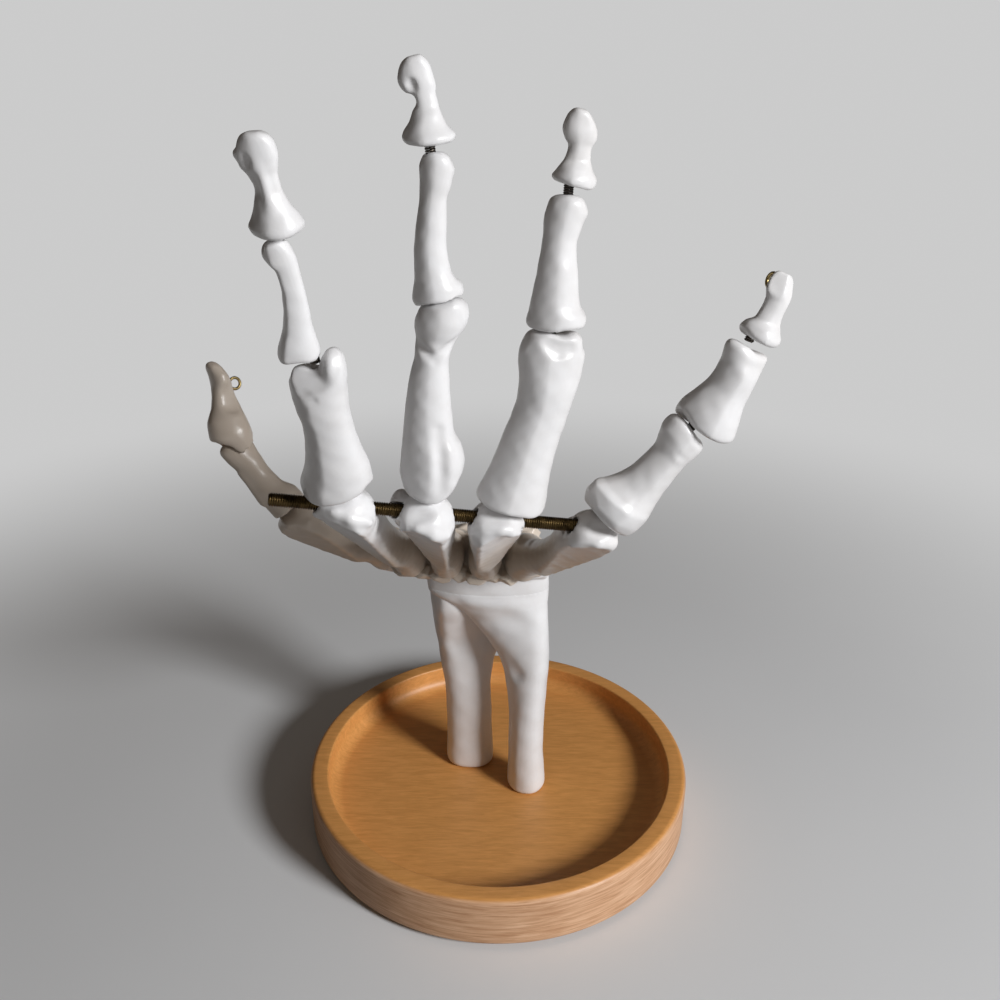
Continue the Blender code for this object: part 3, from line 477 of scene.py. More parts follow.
# Extra shapes on each bone: what is done, the kind of shape, its sizes and the blend
DETAILS = {
    ("index", "proximal_phalanx"): [
        ("keep", "plane", (-2.5, -4.4, 35.2), (-0.10, -0.80, 0.60), 0.5),
        ("cut", "rod", (-7, -5.8, 33.4), (-0.5, -5.5, 34.8), 0.8, 0.9, 0.7),
        ("add", "ball", (2.9, -0.2, 39.4), (1.8, 2.9, 3.2), 1.3),
        ("cut", "ball", (-3.4, -5.0, 36.0), (2.6, 1.2, 0.9), 0.8)],
    ("index", "middle_phalanx"): [
        ("add", "ball", (-1.9, 0.6, 26.0), (1.5, 2.3, 1.7), 0.7),
        ("cut", "ball", (-3.3, -1.0, 21.6), (1.6, 2.4, 3.0), 0.8)],
    ("index", "distal_phalanx"): [
        ("cut", "ball", (-2.7, -2.2, 16.8), (1.3, 1.0, 1.6), 0.6),
        ("add", "rod", (-3.0, 0, 17.9), (-4.0, 0.1, 17.7), 1.0, 0.7, 0.9),
        ("add", "rod", (-0.6, -1.1, 18.6), (0.6, -2.0, 8.5), 0.5, 0.7, 1.0)],
    ("middle", "proximal_phalanx"): [
        ("add", "ball", (3.8, 0.4, 47.3), (1.7, 3.0, 2.4), 1.2),
        ("add", "ball", (0.3, -0.6, 45.2), (4.4, 3.4, 4.1), 0.8),
        ("cut", "rod", (-5.6, -1.6, 41.6), (-0.2, -4.6, 38.6), 0.8, 1.1, 1.0),
        ("cut", "rod", (-0.2, -4.6, 38.6), (4.6, -1.4, 43.0), 1.1, 0.8, 1.0),
        ("add", "ball", (4.4, 0.8, 14.4), (2.9, 3.6, 5.2), 0.4),
        ("cut", "rod", (1.6, -5.4, 24), (3.4, -6.9, 8.0), 0.7, 1.1, 1.8)],
    ("middle", "middle_phalanx"): [
        ("add", "ball", (3.4, 0.4, 7.0), (1.5, 2.6, 1.9), 0.7)],
    ("middle", "distal_phalanx"): [
        ("add", "ball", (-1.7, 0.1, 15.6), (2.0, 1.5, 2.4), 0.8),
        ("cut", "ball", (-2.1, 0, 11.9), (1.0, 3.0, 1.2), 0.6),
        ("cut", "ball", (-1.5, -2.1, 14.4), (1.0, 1.0, 1.4), 0.7)],
    ("ring", "proximal_phalanx"): [
        ("cut", "rod", (-4.6, -6.9, 44.8), (0.6, -7.5, 43.5), 3.2, 3.4, 0.35),
        ("cut", "rod", (0.6, -7.5, 43.5), (5.6, -6.9, 44.2), 3.4, 3.2, 0.35)],
    ("ring", "middle_phalanx"): [
        ("add", "ball", (4.4, 0.4, 9.4), (1.9, 2.9, 2.0), 0.7)],
    ("ring", "distal_phalanx"): [
        ("add", "ball", (0.5, 0, 15.4), (2.5, 1.5, 2.6), 0.8),
        ("add", "ball", (2.6, 0, 14.4), (2.0, 1.4, 2.4), 0.8)],
    ("little", "proximal_phalanx"): [
        ("cut", "rod", (-6, -5.2, 28.6), (4, -5.2, 27.4), 0.7, 0.7, 1.0)],
    ("little", "middle_phalanx"): [
        ("keep", "plane", (0.8, -3.9, 22.4), (0.0, -0.80, 0.60), 0.8)],
    ("little", "distal_phalanx"): [
        ("keep", "plane", (1.4, -1.9, 13.4), (0.45, -0.85, 0.30), 0.3),
        ("keep", "plane", (1.0, -1.9, 13.4), (-0.45, -0.85, 0.30), 0.3)],
    ("thumb", "proximal_phalanx"): [
        ("add", "rod", (0, -3.6, 20), (0, -4.2, 11), 0.6, 0.9, 1.5)],
    ("thumb", "distal_phalanx"): [
        ("cut", "ball", (4.0, 0.6, 13.0), (1.4, 3.0, 3.0), 1.6)],
}
# How square the quarters of a finger bone are: back left, back right, front left, front right
BONE_POWERS = (1.55, 2.1, 2.1, 2.2)

# Reach to the back and to the front as shares of a bone's width: shafts, and fingertips below and
# above the share of their height where they get slim
SHAFT_DEPTH, TIP_FOOT_DEPTH, TIP_DEPTH, TIP_FOOT = (0.43, 0.39), (0.42, 0.40), (0.30, 0.27), 0.35
LEAST_DEPTH = 1.5         # least reach of a fingertip, in mm
BOW, TIP_BOW = 0.7, 0.3   # how far a shaft bows to the back in mm, and a fingertip's share of it
HEAD_SHARE = 0.72         # share of a bone's height above which its head starts
BONE_ROOM = 8             # half the depth of a finger bone's field
FOOT_SHARE, FOOT_FRONT = 0.4, 4.4       # below that share, the most that a first bone reaches front

# The thumb is seen from its side: height, bow to the palm, reach to the back and to the palm
THUMB_PROFILE = {
    "proximal_phalanx": [(3.8, 0, 4.6, 4.6), (8.1, 0, 4.6, 4.8), (12, -0.4, 4.6, 3.4),
                         (14.8, -0.6, 3.8, 3.1), (19, 0, 4.0, 2.9), (22, 0, 4.2, 3.6),
                         (25, 0, 4.6, 4.1), (29, 0, 4.6, 4.2)],
    "distal_phalanx": [(-2.0, 0, 2.4, 3.6), (0.6, 0, 3.4, 4.3), (3.5, 0, 6.0, 4.4),
                       (6.3, 0, 6.8, 4.1), (10.1, 0, 4.8, 3.6), (12.8, 0, 3.0, 3.2),
                       (18, 0.3, 2.1, 2.5), (20.4, 0, 2.0, 1.7), (22.5, -0.4, 1.7, 1.0)],
}

# Cells that hold the reach of a head: along the hinge from -12 to 12 mm, and round it in degrees
HINGE_HALF, CELLS_PER_MM, CELLS_ALONG = 12, 2, 48
TURN_STEP, CELLS_ROUND = 5, 72
SWEEP_SKIN = 1.2          # depth under a head's surface that counts for its reach


def bone_rows(finger, name):
    """Rows for a column, from the outline of a finger bone."""
    head, ridge, _, outline, _, _ = BONES[(finger, name)]
    first, last = outline[0][0], outline[-1][0]
    rows = []
    for z, left, right in outline:
        share = (z - first) / (last - first)
        width = right - left
        back, front = (width * depth for depth in SHAFT_DEPTH)
        bow = -BOW * math.sin(math.pi * share)
        if name == "distal_phalanx":
            depths = TIP_FOOT_DEPTH if share < TIP_FOOT else TIP_DEPTH
            back, front = (max(LEAST_DEPTH, width * depth) for depth in depths)
            bow *= TIP_BOW
        elif share > HEAD_SHARE:
            back, front = min(back, head), min(front, head)
        elif name == "proximal_phalanx" and share < FOOT_SHARE:
            front = min(front, FOOT_FRONT)
        if finger == "thumb":
            table = np.array(THUMB_PROFILE[name])
            bow, back, front = (float(np.interp(z, table[:, 0], table[:, i])) for i in (1, 2, 3))
        top = left + width * ridge
        rows.append((z, top, bow, 0.0, top - left, right - top, back, front))
    return rows


def sweep(field, matrix, next_matrix, limits):
    """How far a head reaches from its hinge, for each place along the hinge and each direction
    round it, with the bone on it turned to any place between its limits."""
    i, j, k = np.nonzero((field.value < 0) & (field.value > -SWEEP_SKIN))
    points = np.stack([i, j, k], 1) * field.step + field.low
    turn = np.array(next_matrix.inverted() @ matrix)
    points = points @ turn[:3, :3].T + turn[:3, 3]
    across = np.round((points[:, 0] + HINGE_HALF) * CELLS_PER_MM).astype(int)
    angle = np.degrees(np.arctan2(points[:, 1], points[:, 2]))
    slot = np.round(angle / TURN_STEP).astype(int) % CELLS_ROUND
    reach = np.zeros((CELLS_ALONG + 1, CELLS_ROUND))
    np.maximum.at(reach, (np.clip(across, 0, CELLS_ALONG), slot),
                  np.hypot(points[:, 1], points[:, 2]))
    # Each cell also takes what its neighbours hold
    wide = reach.copy()
    for shift in (-1, 1):
        wide = np.maximum(wide, np.roll(reach, shift, 1))
    reach = wide.copy()
    reach[1:] = np.maximum(reach[1:], wide[:-1])
    reach[:-1] = np.maximum(reach[:-1], wide[1:])
    swept = reach.copy()
    for degrees in range(int(limits[0]), int(limits[1]) + TURN_STEP, TURN_STEP):
        swept = np.maximum(swept, np.roll(reach, -int(round(degrees / TURN_STEP)), 1))
    return swept


def cup(field, swept):
    """The room that the head below needs, as a shape to cut. Swept is its radius where it is a
    ball, and else what sweep gives."""
    if isinstance(swept, float):
        return field.ball((0, 0, 0), (swept + JOINT_SEAM,) * 3)
    x = np.clip((field.x + HINGE_HALF) * CELLS_PER_MM, 0, CELLS_ALONG - 0.01)
    angle = np.degrees(np.arctan2(field.y, field.z)) / TURN_STEP % CELLS_ROUND
    i, j = np.floor(x).astype(int), np.floor(angle).astype(int)
    i, j, u, v = np.broadcast_arrays(i, j, x - i, angle - j)
    j, after = j % CELLS_ROUND, (j + 1) % CELLS_ROUND
    room = ((swept[i, j] * (1 - v) + swept[i, after] * v) * (1 - u)
            + (swept[i + 1, j] * (1 - v) + swept[i + 1, after] * v) * u)
    return np.sqrt(field.y ** 2 + field.z ** 2) - room - JOINT_SEAM


def add_details(field, details):
    """Adds, cuts or keeps shapes: each row holds the action, the kind of shape, its two places or
    sizes, a rod's two radii, and the blend."""
    for action, kind, first, second, *radii, blend in details:
        getattr(field, action)(getattr(field, kind)(first, second, *radii), blend)


def shape_bone(finger, name, last):
    """The outside of a finger bone."""
    head, _, tilt, outline, top, low = BONES[(finger, name)]
    left = min(row[1] for row in outline)
    right = max(row[2] for row in outline)
    field = Field((left - 2, -BONE_ROOM, min(height for _, height in low) - 3.5),
                  (right + 2, BONE_ROOM, max(height for _, height in top) + 3), BONE_STEP)
    field.add(field.column(bone_rows(finger, name), BONE_POWERS))
    field.keep(field.end(top, tilt), 1.4 if last else head * 0.6)
    field.keep(-field.end(low, tilt), 0.9)
    add_details(field, DETAILS[(finger, name)])
    field.ripple(*BONE_RIPPLE)
    return field


def build_fingers(bone, spring, brass):
    """Each finger from its knuckle up: bones, the spring under each, and the eye at the tip."""
    for finger in FINGER_BONES:
        frames = bone_frames(finger)
        swept = below = float(KNUCKLE[finger])
        for i, (name, matrix) in enumerate(frames):
            last = i == len(frames) - 1
            field = shape_bone(finger, name, last)
            field.cut(cup(field, swept), 0.3)
            field.cut(field.rod((0, 0, 0), (0, 0, below + SOCKET_TOP), SOCKET_RADIUS), 0.1)
            if last:
                root = eye_root(finger)
                field.cut(field.rod(root, root + Vector((0, EYE_HOLE_RUN, 0)), EYE_HOLE), 0.0)
            else:
                above, next_matrix = frames[i + 1]
                limits = JOINTS[f"{JOINT_OF[above]}_{finger}"]["range_deg"]
                swept = sweep(field, matrix, next_matrix, limits)
                head = HEADS[finger][i]
                joint = into(matrix, next_matrix.translation)
                along = heading_in(matrix, axis_of(next_matrix, 2))
                field.cut(field.rod(joint + along * (head - SOCKET_DEPTH),
                                    joint + along * (head + SOCKET_RUN), SOCKET_RADIUS), 0.1)
            place_bone(f"bone_{name}_{finger}", field, matrix, bone, f"{name}_{finger}")
            build_spring(finger, name, matrix, below, spring)
            if not last:
                below = head
        build_eye(finger, brass)


# Springs and wire eyes

SPRING_TURNS, SPRING_STEPS = 8, 20      # turns of a coil, and points along each
SPRING_SIDES = 8                        # points round its wire
SPRING_COIL, SPRING_WIRE = 0.8, 0.21    # radius of the coil's middle line, and of its wire
SPRING_ENDS = (-1.4, 2.6)               # its ends over the crown of the head below, in mm
EYE_RADIUS, EYE_WIRE = 1.42, 0.38       # the same two radii for an eye's ring
EYE_STEPS, EYE_SIDES = 40, 12           # points along the ring, and round its wire
EYE_HOLE, EYE_HOLE_RUN = 0.5, 6         # radius and length of the hole for its shank
# How far each eye sits from its middle place, in mm
EYE_SHIFT = {"thumb": (0, 0, -3.1), "index": (-0.8, 0, -2.2), "middle": (0, 0, -1.5),
             "ring": (0.6, 0, -2.4), "little": (0.9, 0, -0.6)}


def polar(radius, turn, z):
    """The point at a radius and an angle round the z axis."""
    return radius * math.cos(turn), radius * math.sin(turn), z


def tube(name, path, radius, sides):
    """A round wire along a path of points, with closed ends."""
    path = [Vector(point) for point in path]
    rings, normal = [], None
    for i, point in enumerate(path):
        ahead = (path[min(i + 1, len(path) - 1)] - path[max(i - 1, 0)]).normalized()
        if normal is None:
            normal = ahead.orthogonal().normalized()
        normal = (normal - ahead * normal.dot(ahead)).normalized()
        other = ahead.cross(normal)
        rings.append([point + (normal * math.cos(math.tau * s / sides)
                               + other * math.sin(math.tau * s / sides)) * radius
                      for s in range(sides)])
    return skin(name, rings)


def skin(name, rings, closed=False):
    """A mesh over rings of points that all have the same count. It is capped at both ends, unless
    the rings close on themselves."""
    count = len(rings[0])
    points = [tuple(point) for ring in rings for point in ring]
    faces = []
    for i in range(len(rings) if closed else len(rings) - 1):
        a, b = i * count, (i + 1) % len(rings) * count
        faces += [(a + s, a + (s + 1) % count, b + (s + 1) % count, b + s) for s in range(count)]
    if not closed:
        faces.append(tuple(reversed(range(count))))
        faces.append(tuple(range(len(points) - count, len(points))))
    return make_mesh(name, points, faces)


def build_spring(finger, name, matrix, below, material):
    """A close-wound coil, from the socket in the head below to the socket in this bone."""
    first, last = (below + end for end in SPRING_ENDS)
    count = SPRING_TURNS * SPRING_STEPS
    path = [polar(SPRING_COIL, math.tau * s / SPRING_STEPS,
                  first + SPRING_WIRE + (last - first - 2 * SPRING_WIRE) * (s / count))
            for s in range(count + 1)]
    kind = JOINT_OF[name]
    node = f"{kind}_spring_{finger}"
    obj = add_piece("coil_" + node, tube(node, path, SPRING_WIRE, SPRING_SIDES), matrix,
                    material)
    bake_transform(obj)
    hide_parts(node)


def eye_points(finger):
    """The frame of a fingertip, and the points of its CAD eye in that frame."""
    matrix = bone_frames(finger)[-1][1]
    points = node_points(f"fingertip_eye_{finger}")
    return matrix, (points - np.array(matrix.translation)) @ np.array(matrix.to_3x3())


def eye_root(finger):
    """The start of the eye's shank, in the frame of the fingertip bone."""
    _, local = eye_points(finger)
    root = local[local[:, 1] < local[:, 1].min() + ROOT_SLICE].mean(0)
    return Vector(root + np.array(EYE_SHIFT[finger]))


def build_eye(finger, material):
    """A screw eye: a short shank into the bone and a closed ring."""
    matrix, local = eye_points(finger)
    root = eye_root(finger)
    middle = local[:, 1].max() - EYE_WIRE - EYE_RADIUS
    shank = [(root.x, root.y + t * (middle - EYE_RADIUS - root.y), root.z)
             for t in np.linspace(0, 1, 6)]
    rings = []
    for i in range(EYE_STEPS):
        turn = math.tau * i / EYE_STEPS
        out = Vector((0, -math.cos(turn), math.sin(turn)))
        rings.append([Vector((root.x, middle, root.z))
                      + out * (EYE_RADIUS + EYE_WIRE * math.cos(a))
                      + Vector((EYE_WIRE * math.sin(a), 0, 0))
                      for a in np.arange(EYE_SIDES) * math.tau / EYE_SIDES])
    both = bmesh.new()
    for mesh in (tube("eye", shank, EYE_WIRE * 0.9, EYE_SIDES), skin("ring", rings, True)):
        both.from_mesh(mesh)
        bpy.data.meshes.remove(mesh)
    bmesh.ops.recalc_face_normals(both, faces=both.faces)
    mesh = bpy.data.meshes.new("eye")
    both.to_mesh(mesh)
    both.free()
    mesh.shade_smooth()
    place(f"wire_eye_{finger}", mesh, matrix, material, f"fingertip_eye_{finger}")


# Palm

CARPAL_FACE = Vector((-9.6, -27.6, 111.0))      # middle of the face that the palm bones stand on
PALM_PITCH = 10.4         # distance between the feet of two palm bones
PALM_PLACE = {"index": -1.46, "middle": -0.46, "ring": 0.54, "little": 1.52}    # in pitches
THUMB_FOOT = Vector((-33.2, -14.2, 106.4))
ROD_HEADING = Vector((0.973, 0.160, -0.163)).normalized()
ROD_START = Vector((-48.2, -85.6, 154.7))
ROD_LENGTH = 68.5
ROD_HOLE = 1.8            # radius of the holes that the rod runs through

# A palm bone: share of its height, share of its keel, bow, half its width, reach back and front
PALM_ROWS = (
    (-0.05, 0, 0, 4.6, 6.5, 6.5), (0.03, 0, 0, 4.8, 6.7, 6.7), (0.10, 0, 0, 4.6, 6.0, 6.2),
    (0.24, 0.7, -0.5, 3.6, 5.2, 4.4), (0.42, 1, -1.2, 3.4, 5.6, 4.0),
    (0.60, 1, -1.0, 4.1, 5.8, 4.0), (0.75, 0.8, -0.4, 5.1, 6.0, 4.3),
    (0.88, 0.5, 0, 6.0, 6.2, 5.0), (1.0, 0, 0, 5.6, 5.6, 5.0), (1.05, 0, 0, 4.4, 4.4, 4.2))

# Ridge on the back of each palm bone, and the lip across its head seen from the end, in mm
KEEL = {"index": 1.8, "middle": 2.2, "ring": -2.6, "little": 0.5, "thumb": 0}
LIPS = {
    "index": ((-5.5, -0.6), (-3.4, 0.2), (-0.7, -0.6), (2.2, -1.9), (5.6, -2.2)),
    "middle": ((-4.2, -2.5), (-2.8, -2.3), (-0.8, -2.6), (2.4, -3.9), (4.8, -3.4)),
    "ring": ((-4.6, -2.2), (-2.8, -1.5), (0.9, -1.6), (3.0, -1.9), (4.5, -1.8)),
    "little": ((-4.6, -3.0), (0, -2.6), (4.4, -2.2)),
    "thumb": ((-4.4, -1.2), (0, -1.8), (4.4, -1.2)),
}
LIP_RADIUS, LIP_SINK = 0.8, 0.95        # radius of the lip, and how far its middle is sunk in
DISH, SIDE_HOLLOW = (4.4, 2.2, 2.5), (1.8, 2.4, 2.6)    # radii of what is cut out of each head
BEND_ROOM = 5.0           # how far from the knuckle a bent bone's foot takes up room
PALM_BOX = (9.6, 10)      # half the width and depth of a palm bone's field
PALM_ROUNDS = 6           # times that a palm bone's mesh is evened out

# For each head: how much thinner the barrel across it is than its ball, how far that reaches to
# each side, and how much the top over the lip falls to the back
HEAD_SHAPES = {"index": (1.7, 7.0, 0.70), "middle": (1.7, 7.0, 0.70), "ring": (2.5, 5.6, 0.70),
               "little": (2.5, 5.6, 0.84), "thumb": (2.5, 5.6, 0.84)}
PALM_POWERS = (2.2, 2.2, 2.4, 2.4)      # how square the quarters of a palm bone are


def palm_axes():
    """The frame of the wrist's face that the four palm bones of the fingers stand on."""
    return frame_at(CARPAL_FACE, joint_place("knuckle_middle") - CARPAL_FACE, ROD_HEADING)


def shape_knuckle(field, finger, length, radius):
    """A lip across the head, a flat below it and a dish above it."""
    lip = LIPS[finger]
    thinner, reach, steep = HEAD_SHAPES[finger]
    barrel = radius - thinner
    field.add(field.rod((barrel - reach, 0.5, length), (reach - 0.6 - barrel, 0.5, length), barrel),
              0.8)
    if finger == "middle":
        field.add(field.ball((-5.5, 2.5, length - 0.1), (2.6, 4.3, 3.8)), 0.8)
        field.add(field.ball((-5.4, -1.2, length - 0.8), (3.2, 4.0, 4.4)), 0.8)
    # A flat on the back, from under the lip far down the shaft
    flat = Vector((-0.12 * KEEL[finger] * length, -length * 0.57, 2.7)).normalized()
    field.keep(field.plane((0, -3.5, length * 0.97), flat), 0.35)
    middle = Vector((sum(x for x, _ in lip) / len(lip), sum(y for _, y in lip) / len(lip), 0))
    run = Vector((lip[-1][0] - lip[0][0], lip[-1][1] - lip[0][1], 0)).normalized()
    normal = Vector((run.y * steep, -run.x * steep, math.sqrt(1 - steep * steep)))
    middle.z = length + math.sqrt(radius ** 2 - middle.x ** 2 - middle.y ** 2) - 0.2
    field.keep(field.plane(middle, normal), 0.35)
    # The lip lies on the higher of the ball and the barrel
    points = []
    for x, y in lip:
        rise = max(math.sqrt(max(radius ** 2 - x * x - y * y, 0.0)),
                   math.sqrt(max(barrel ** 2 - y * y - max(abs(x) - 2.5, 0) ** 2 * 0.5, 0.2)))
        points.append((x, y + 0.3, length + rise - LIP_SINK))
    for a, b in zip(points, points[1:]):
        field.add(field.rod(a, b, LIP_RADIUS), 1.4)
    field.cut(field.ball((middle.x - 0.4, middle.y + 3.3, length + radius + 1.5), DISH), 1.2)
    for side in (-1, 1):
        field.cut(field.ball((side * (radius + 1.9), 0.6, length - 1.6), SIDE_HOLLOW), 1.0)


def clear_bend(field, finger, matrix, length, radius):
    """Room on the palm side for the foot of the next bone when the knuckle is fully bent."""
    first = bone_frames(finger)[0][1]
    turn = math.radians(JOINTS[f"knuckle_{finger}"]["range_deg"][1])
    along, palm = heading_in(matrix, axis_of(first, 2)), heading_in(matrix, axis_of(first, 1))
    bent = palm * math.cos(turn) - along * math.sin(turn)
    joint = Vector((0, 0, length))
    beyond = np.maximum(-field.ball(joint, (radius + 0.1,) * 3),
                        field.plane(joint + bent * BEND_ROOM, bent))
    field.cut(np.maximum(beyond, 0.2 - field.y), 0.3)


def build_palm(bone):
    """The palm bones: a slim shaft, a round head with a lip, and holes for spring and rod."""
    face = palm_axes()
    for finger, radius in KNUCKLE.items():
        head = joint_place(f"knuckle_{finger}")
        if finger == "thumb":
            foot = THUMB_FOOT
            seat = frame_at(foot, head - foot, ROD_HEADING)
        else:
            foot = face @ Vector((PALM_PITCH * PALM_PLACE[finger], 0, 0.3))
            seat = face
        matrix = frame_at(foot, head - foot, ROD_HEADING)
        length = (head - foot).length
        wide, deep = PALM_BOX
        field = Field((-wide, -deep, -3), (wide, deep, length + radius + 1.5), PALM_STEP)
        keel = KEEL[finger]
        rows = [(share * length, keel * near, bow, 0, half + keel * near, half - keel * near,
                 back, front) for share, near, bow, half, back, front in PALM_ROWS]
        field.add(field.column(rows, PALM_POWERS))
        field.keep(field.z - length, 1.0)
        field.add(field.ball((0, 0, length), (radius,) * 3), 1.0)
        shape_knuckle(field, finger, length, radius)
        if finger in ("ring", "little"):
            clear_bend(field, finger, matrix, length, radius)
        field.ripple(*PALM_RIPPLE)
        field.keep(field.over(into(matrix, foot), heading_in(matrix, -axis_of(seat, 2))), 0.5)
        along = heading_in(matrix, axis_of(bone_frames(finger)[0][1], 2))
        start = into(matrix, head) + along * (radius - SOCKET_DEPTH)
        field.cut(field.rod(start, start + along * SOCKET_RUN, SOCKET_RADIUS), 0.15)
        if finger != "thumb":
            a = into(matrix, ROD_START)
            b = into(matrix, ROD_START + ROD_HEADING * (ROD_LENGTH + 0.3))
            field.cut(field.rod(a, b, ROD_HOLE), 0.1)
        place_bone(f"palm_bone_{finger}", field, matrix, bone, f"metacarpal_{finger}", PALM_ROUNDS)


# Wrist

WRIST = Vector((-3.2, 1.0, 85.0))       # middle of the flat seam between wrist and forearm
SEAM_DROP, SEAM_RISE = 0.7, 1.0         # how far each of the two reaches into the other
WRIST_BOX = (-46, -42, 83.16), (22, 14, 122)            # corners of the wrist's field
WRIST_RODS, ROD_LIFT = 4, 3.6           # thick rods side by side, with their middles lifted
LOW_WIDTH, HIGH_WIDTH = 22.6, 28.0      # between the outer rods, at the forearm and at the palm
LOW_SPREAD, HIGH_SPREAD = 34, 40        # widths that the stones are spread over
ARM_POWERS = (1.75, 2.3, 2.4, 2.4)      # of the neck and the radius below it
LOBE_BACK, LOBE_ASIDE = 14, 9           # where the thumb's lobe starts, from its palm bone's foot

# Bumps of the single bones: share across, share of the way from forearm to palm, radius
ROCKS = ((-0.42, 0.2, 3.2), (-0.2, 0.34, 2.6), (0.05, 0.22, 3.0), (0.3, 0.34, 2.8),
         (0.44, 0.15, 2.6), (-0.34, 0.62, 3.0), (-0.08, 0.7, 2.8), (0.18, 0.62, 3.1),
         (0.42, 0.66, 2.7))
# Small stones along the back edge of the face: place across, drop under its middle, radius
EDGE_STONES = ((-15.5, 3.4, 2.7), (-11.6, 5.0, 2.3), (-6.6, 5.4, 2.7), (-1.4, 5.0, 2.4),
               (3.4, 5.6, 2.7), (8.0, 5.0, 2.4), (12.2, 5.2, 2.6), (16.0, 3.8, 2.3))
# Rows of the neck over the forearm, as for a column
NECK_ROWS = ((82.4, -1.0, 0.6, 0, 19.6, 16.6, 6.9, 6.0), (85.0, -3.6, 0.6, 0, 18.8, 19.2, 6.6, 5.9),
             (89.0, -3.8, 0.6, 0, 18.8, 19.4, 6.8, 7.0), (93.0, -4.0, 0.3, 0, 19.0, 19.4, 7.0, 9.0),
             (100.0, -4.0, -0.6, 0, 19.0, 19.0, 7.2, 9.0))


def add_wrist_rods(field, bottom, across, normal):
    """Thick rods from the forearm to the palm, side by side."""
    for i in range(WRIST_RODS):
        share = i / (WRIST_RODS - 1) - 0.5
        low = bottom + Vector((1, 0, 0)) * share * LOW_WIDTH
        low.z += 4.0
        high = CARPAL_FACE + across * share * HIGH_WIDTH - normal * 5.0
        middle = (low + high) / 2 + Vector((0, 0, ROD_LIFT))
        field.add(field.rod(low - Vector((0, -1.5, 7)), low, 7.3, 7.5), 1.0)
        field.add(field.rod(low, middle - (high - middle) * 0.08, 7.5, 7.4), 1.0)
        field.add(field.rod(middle, high, 7.5, 8.0), 0.9)
        field.add(field.rod(high, high + normal * 8, 8.0, 7.8), 1.0)


def add_lobe(field, root, along):
    """The lobe that the thumb's palm bone stands on."""
    field.add(field.rod(root, THUMB_FOOT - along * 2, 5.4, 6.2), 1.2)
    field.add(field.rod(THUMB_FOOT - along * 4, THUMB_FOOT + along * 3, 6.3, 6.0), 1.0)


def add_rocks(field, bottom, across):
    """Pairs of stones, at the front of the rods and at their back."""
    for i, (share, rise, radius) in enumerate(ROCKS):
        low = bottom + Vector((share * LOW_SPREAD, 0, 3))
        high = CARPAL_FACE + across * share * HIGH_SPREAD
        spot = low.lerp(high, rise) + Vector((0, 0, 9.5 * rise * (1 - rise) * 2))
        for side in (-1, 1):
            if rise > 0.4:
                out = Vector((0, -0.62, -0.45)) * 7.4 * side
            else:
                out = Vector((0, -7.6, 0)) * side
            field.add(field.stone(spot + out, (radius + 1.0, radius, radius), 1.7 * i + side), 0.5)


def add_neck(field):
    """A smooth neck over the forearm, whose rim rises to the right."""
    amount, length = ARM_RIPPLE
    neck = field.column(NECK_ROWS, ARM_POWERS) + amount * field.wave(length)
    # It starts just inside the forearm's surface and comes out of it, so that no edge shows
    neck = neck + 0.16 - 0.20 * np.clip((field.z - WRIST.z + SEAM_DROP) / 1.9, 0, 1)
    rim = 91.6 + 0.0155 * np.maximum(field.x - 1.0, 0) ** 2 * (1.6 - 0.03 * field.x)
    field.add(-soft_min(-neck, rim - field.z, 0.8), 0.2)


def build_carpals(bone):
    """The wrist bones, grown together into one block."""
    field = Field(*WRIST_BOX, PALM_STEP)
    face = palm_axes()
    across, palm, normal = (axis_of(face, i) for i in range(3))
    bottom = WRIST + Vector((0, 2.6, 0.3))
    add_wrist_rods(field, bottom, across, normal)
    along = (joint_place("knuckle_thumb") - THUMB_FOOT).normalized()
    root = THUMB_FOOT - along * LOBE_BACK + ROD_HEADING * LOBE_ASIDE
    add_lobe(field, root, along)
    add_rocks(field, bottom, across)
    field.ripple(*WRIST_RIPPLE)
    # The flat face, except where the thumb's lobe passes it, and the lobe's own flat end
    lobe = field.rod(root, THUMB_FOOT + along * 3, 6.8, 6.8)
    field.keep(np.minimum(field.over(CARPAL_FACE, normal), lobe), 0.4)
    seat = field.over(THUMB_FOOT, along) + 0.3
    field.cut(np.maximum(-seat, field.ball(THUMB_FOOT, (9, 9, 9))), 0.3)
    # The flat bottom, and the slope that cuts the back of the underside away
    field.keep(WRIST.z - SEAM_DROP - field.z, 0.3)
    field.keep(field.plane((0, -8.6, 93.2), (0, -0.505, -0.862)), 0.6)
    for i, (slide, drop, radius) in enumerate(EDGE_STONES):
        spot = CARPAL_FACE + across * slide - palm * drop - normal * 0.9
        field.add(field.stone(spot, (radius + 0.9, radius, radius), 2.3 * i), 0.3)
    add_neck(field)
    field.keep(WRIST.z - SEAM_DROP - field.z, 0.0)
    place_bone("wrist_bones", field, Matrix(), bone, "carpal_block")


# Forearm

ARM_FOOT = 10.3           # height of the tray's floor with the gap over it
FEET = {"radius": (9.2, -3.6), "ulna": (-10.0, 10.6)}   # where a screw goes up into each bone
SCREW_HOLE = 1.95         # radius of the holes for the screws

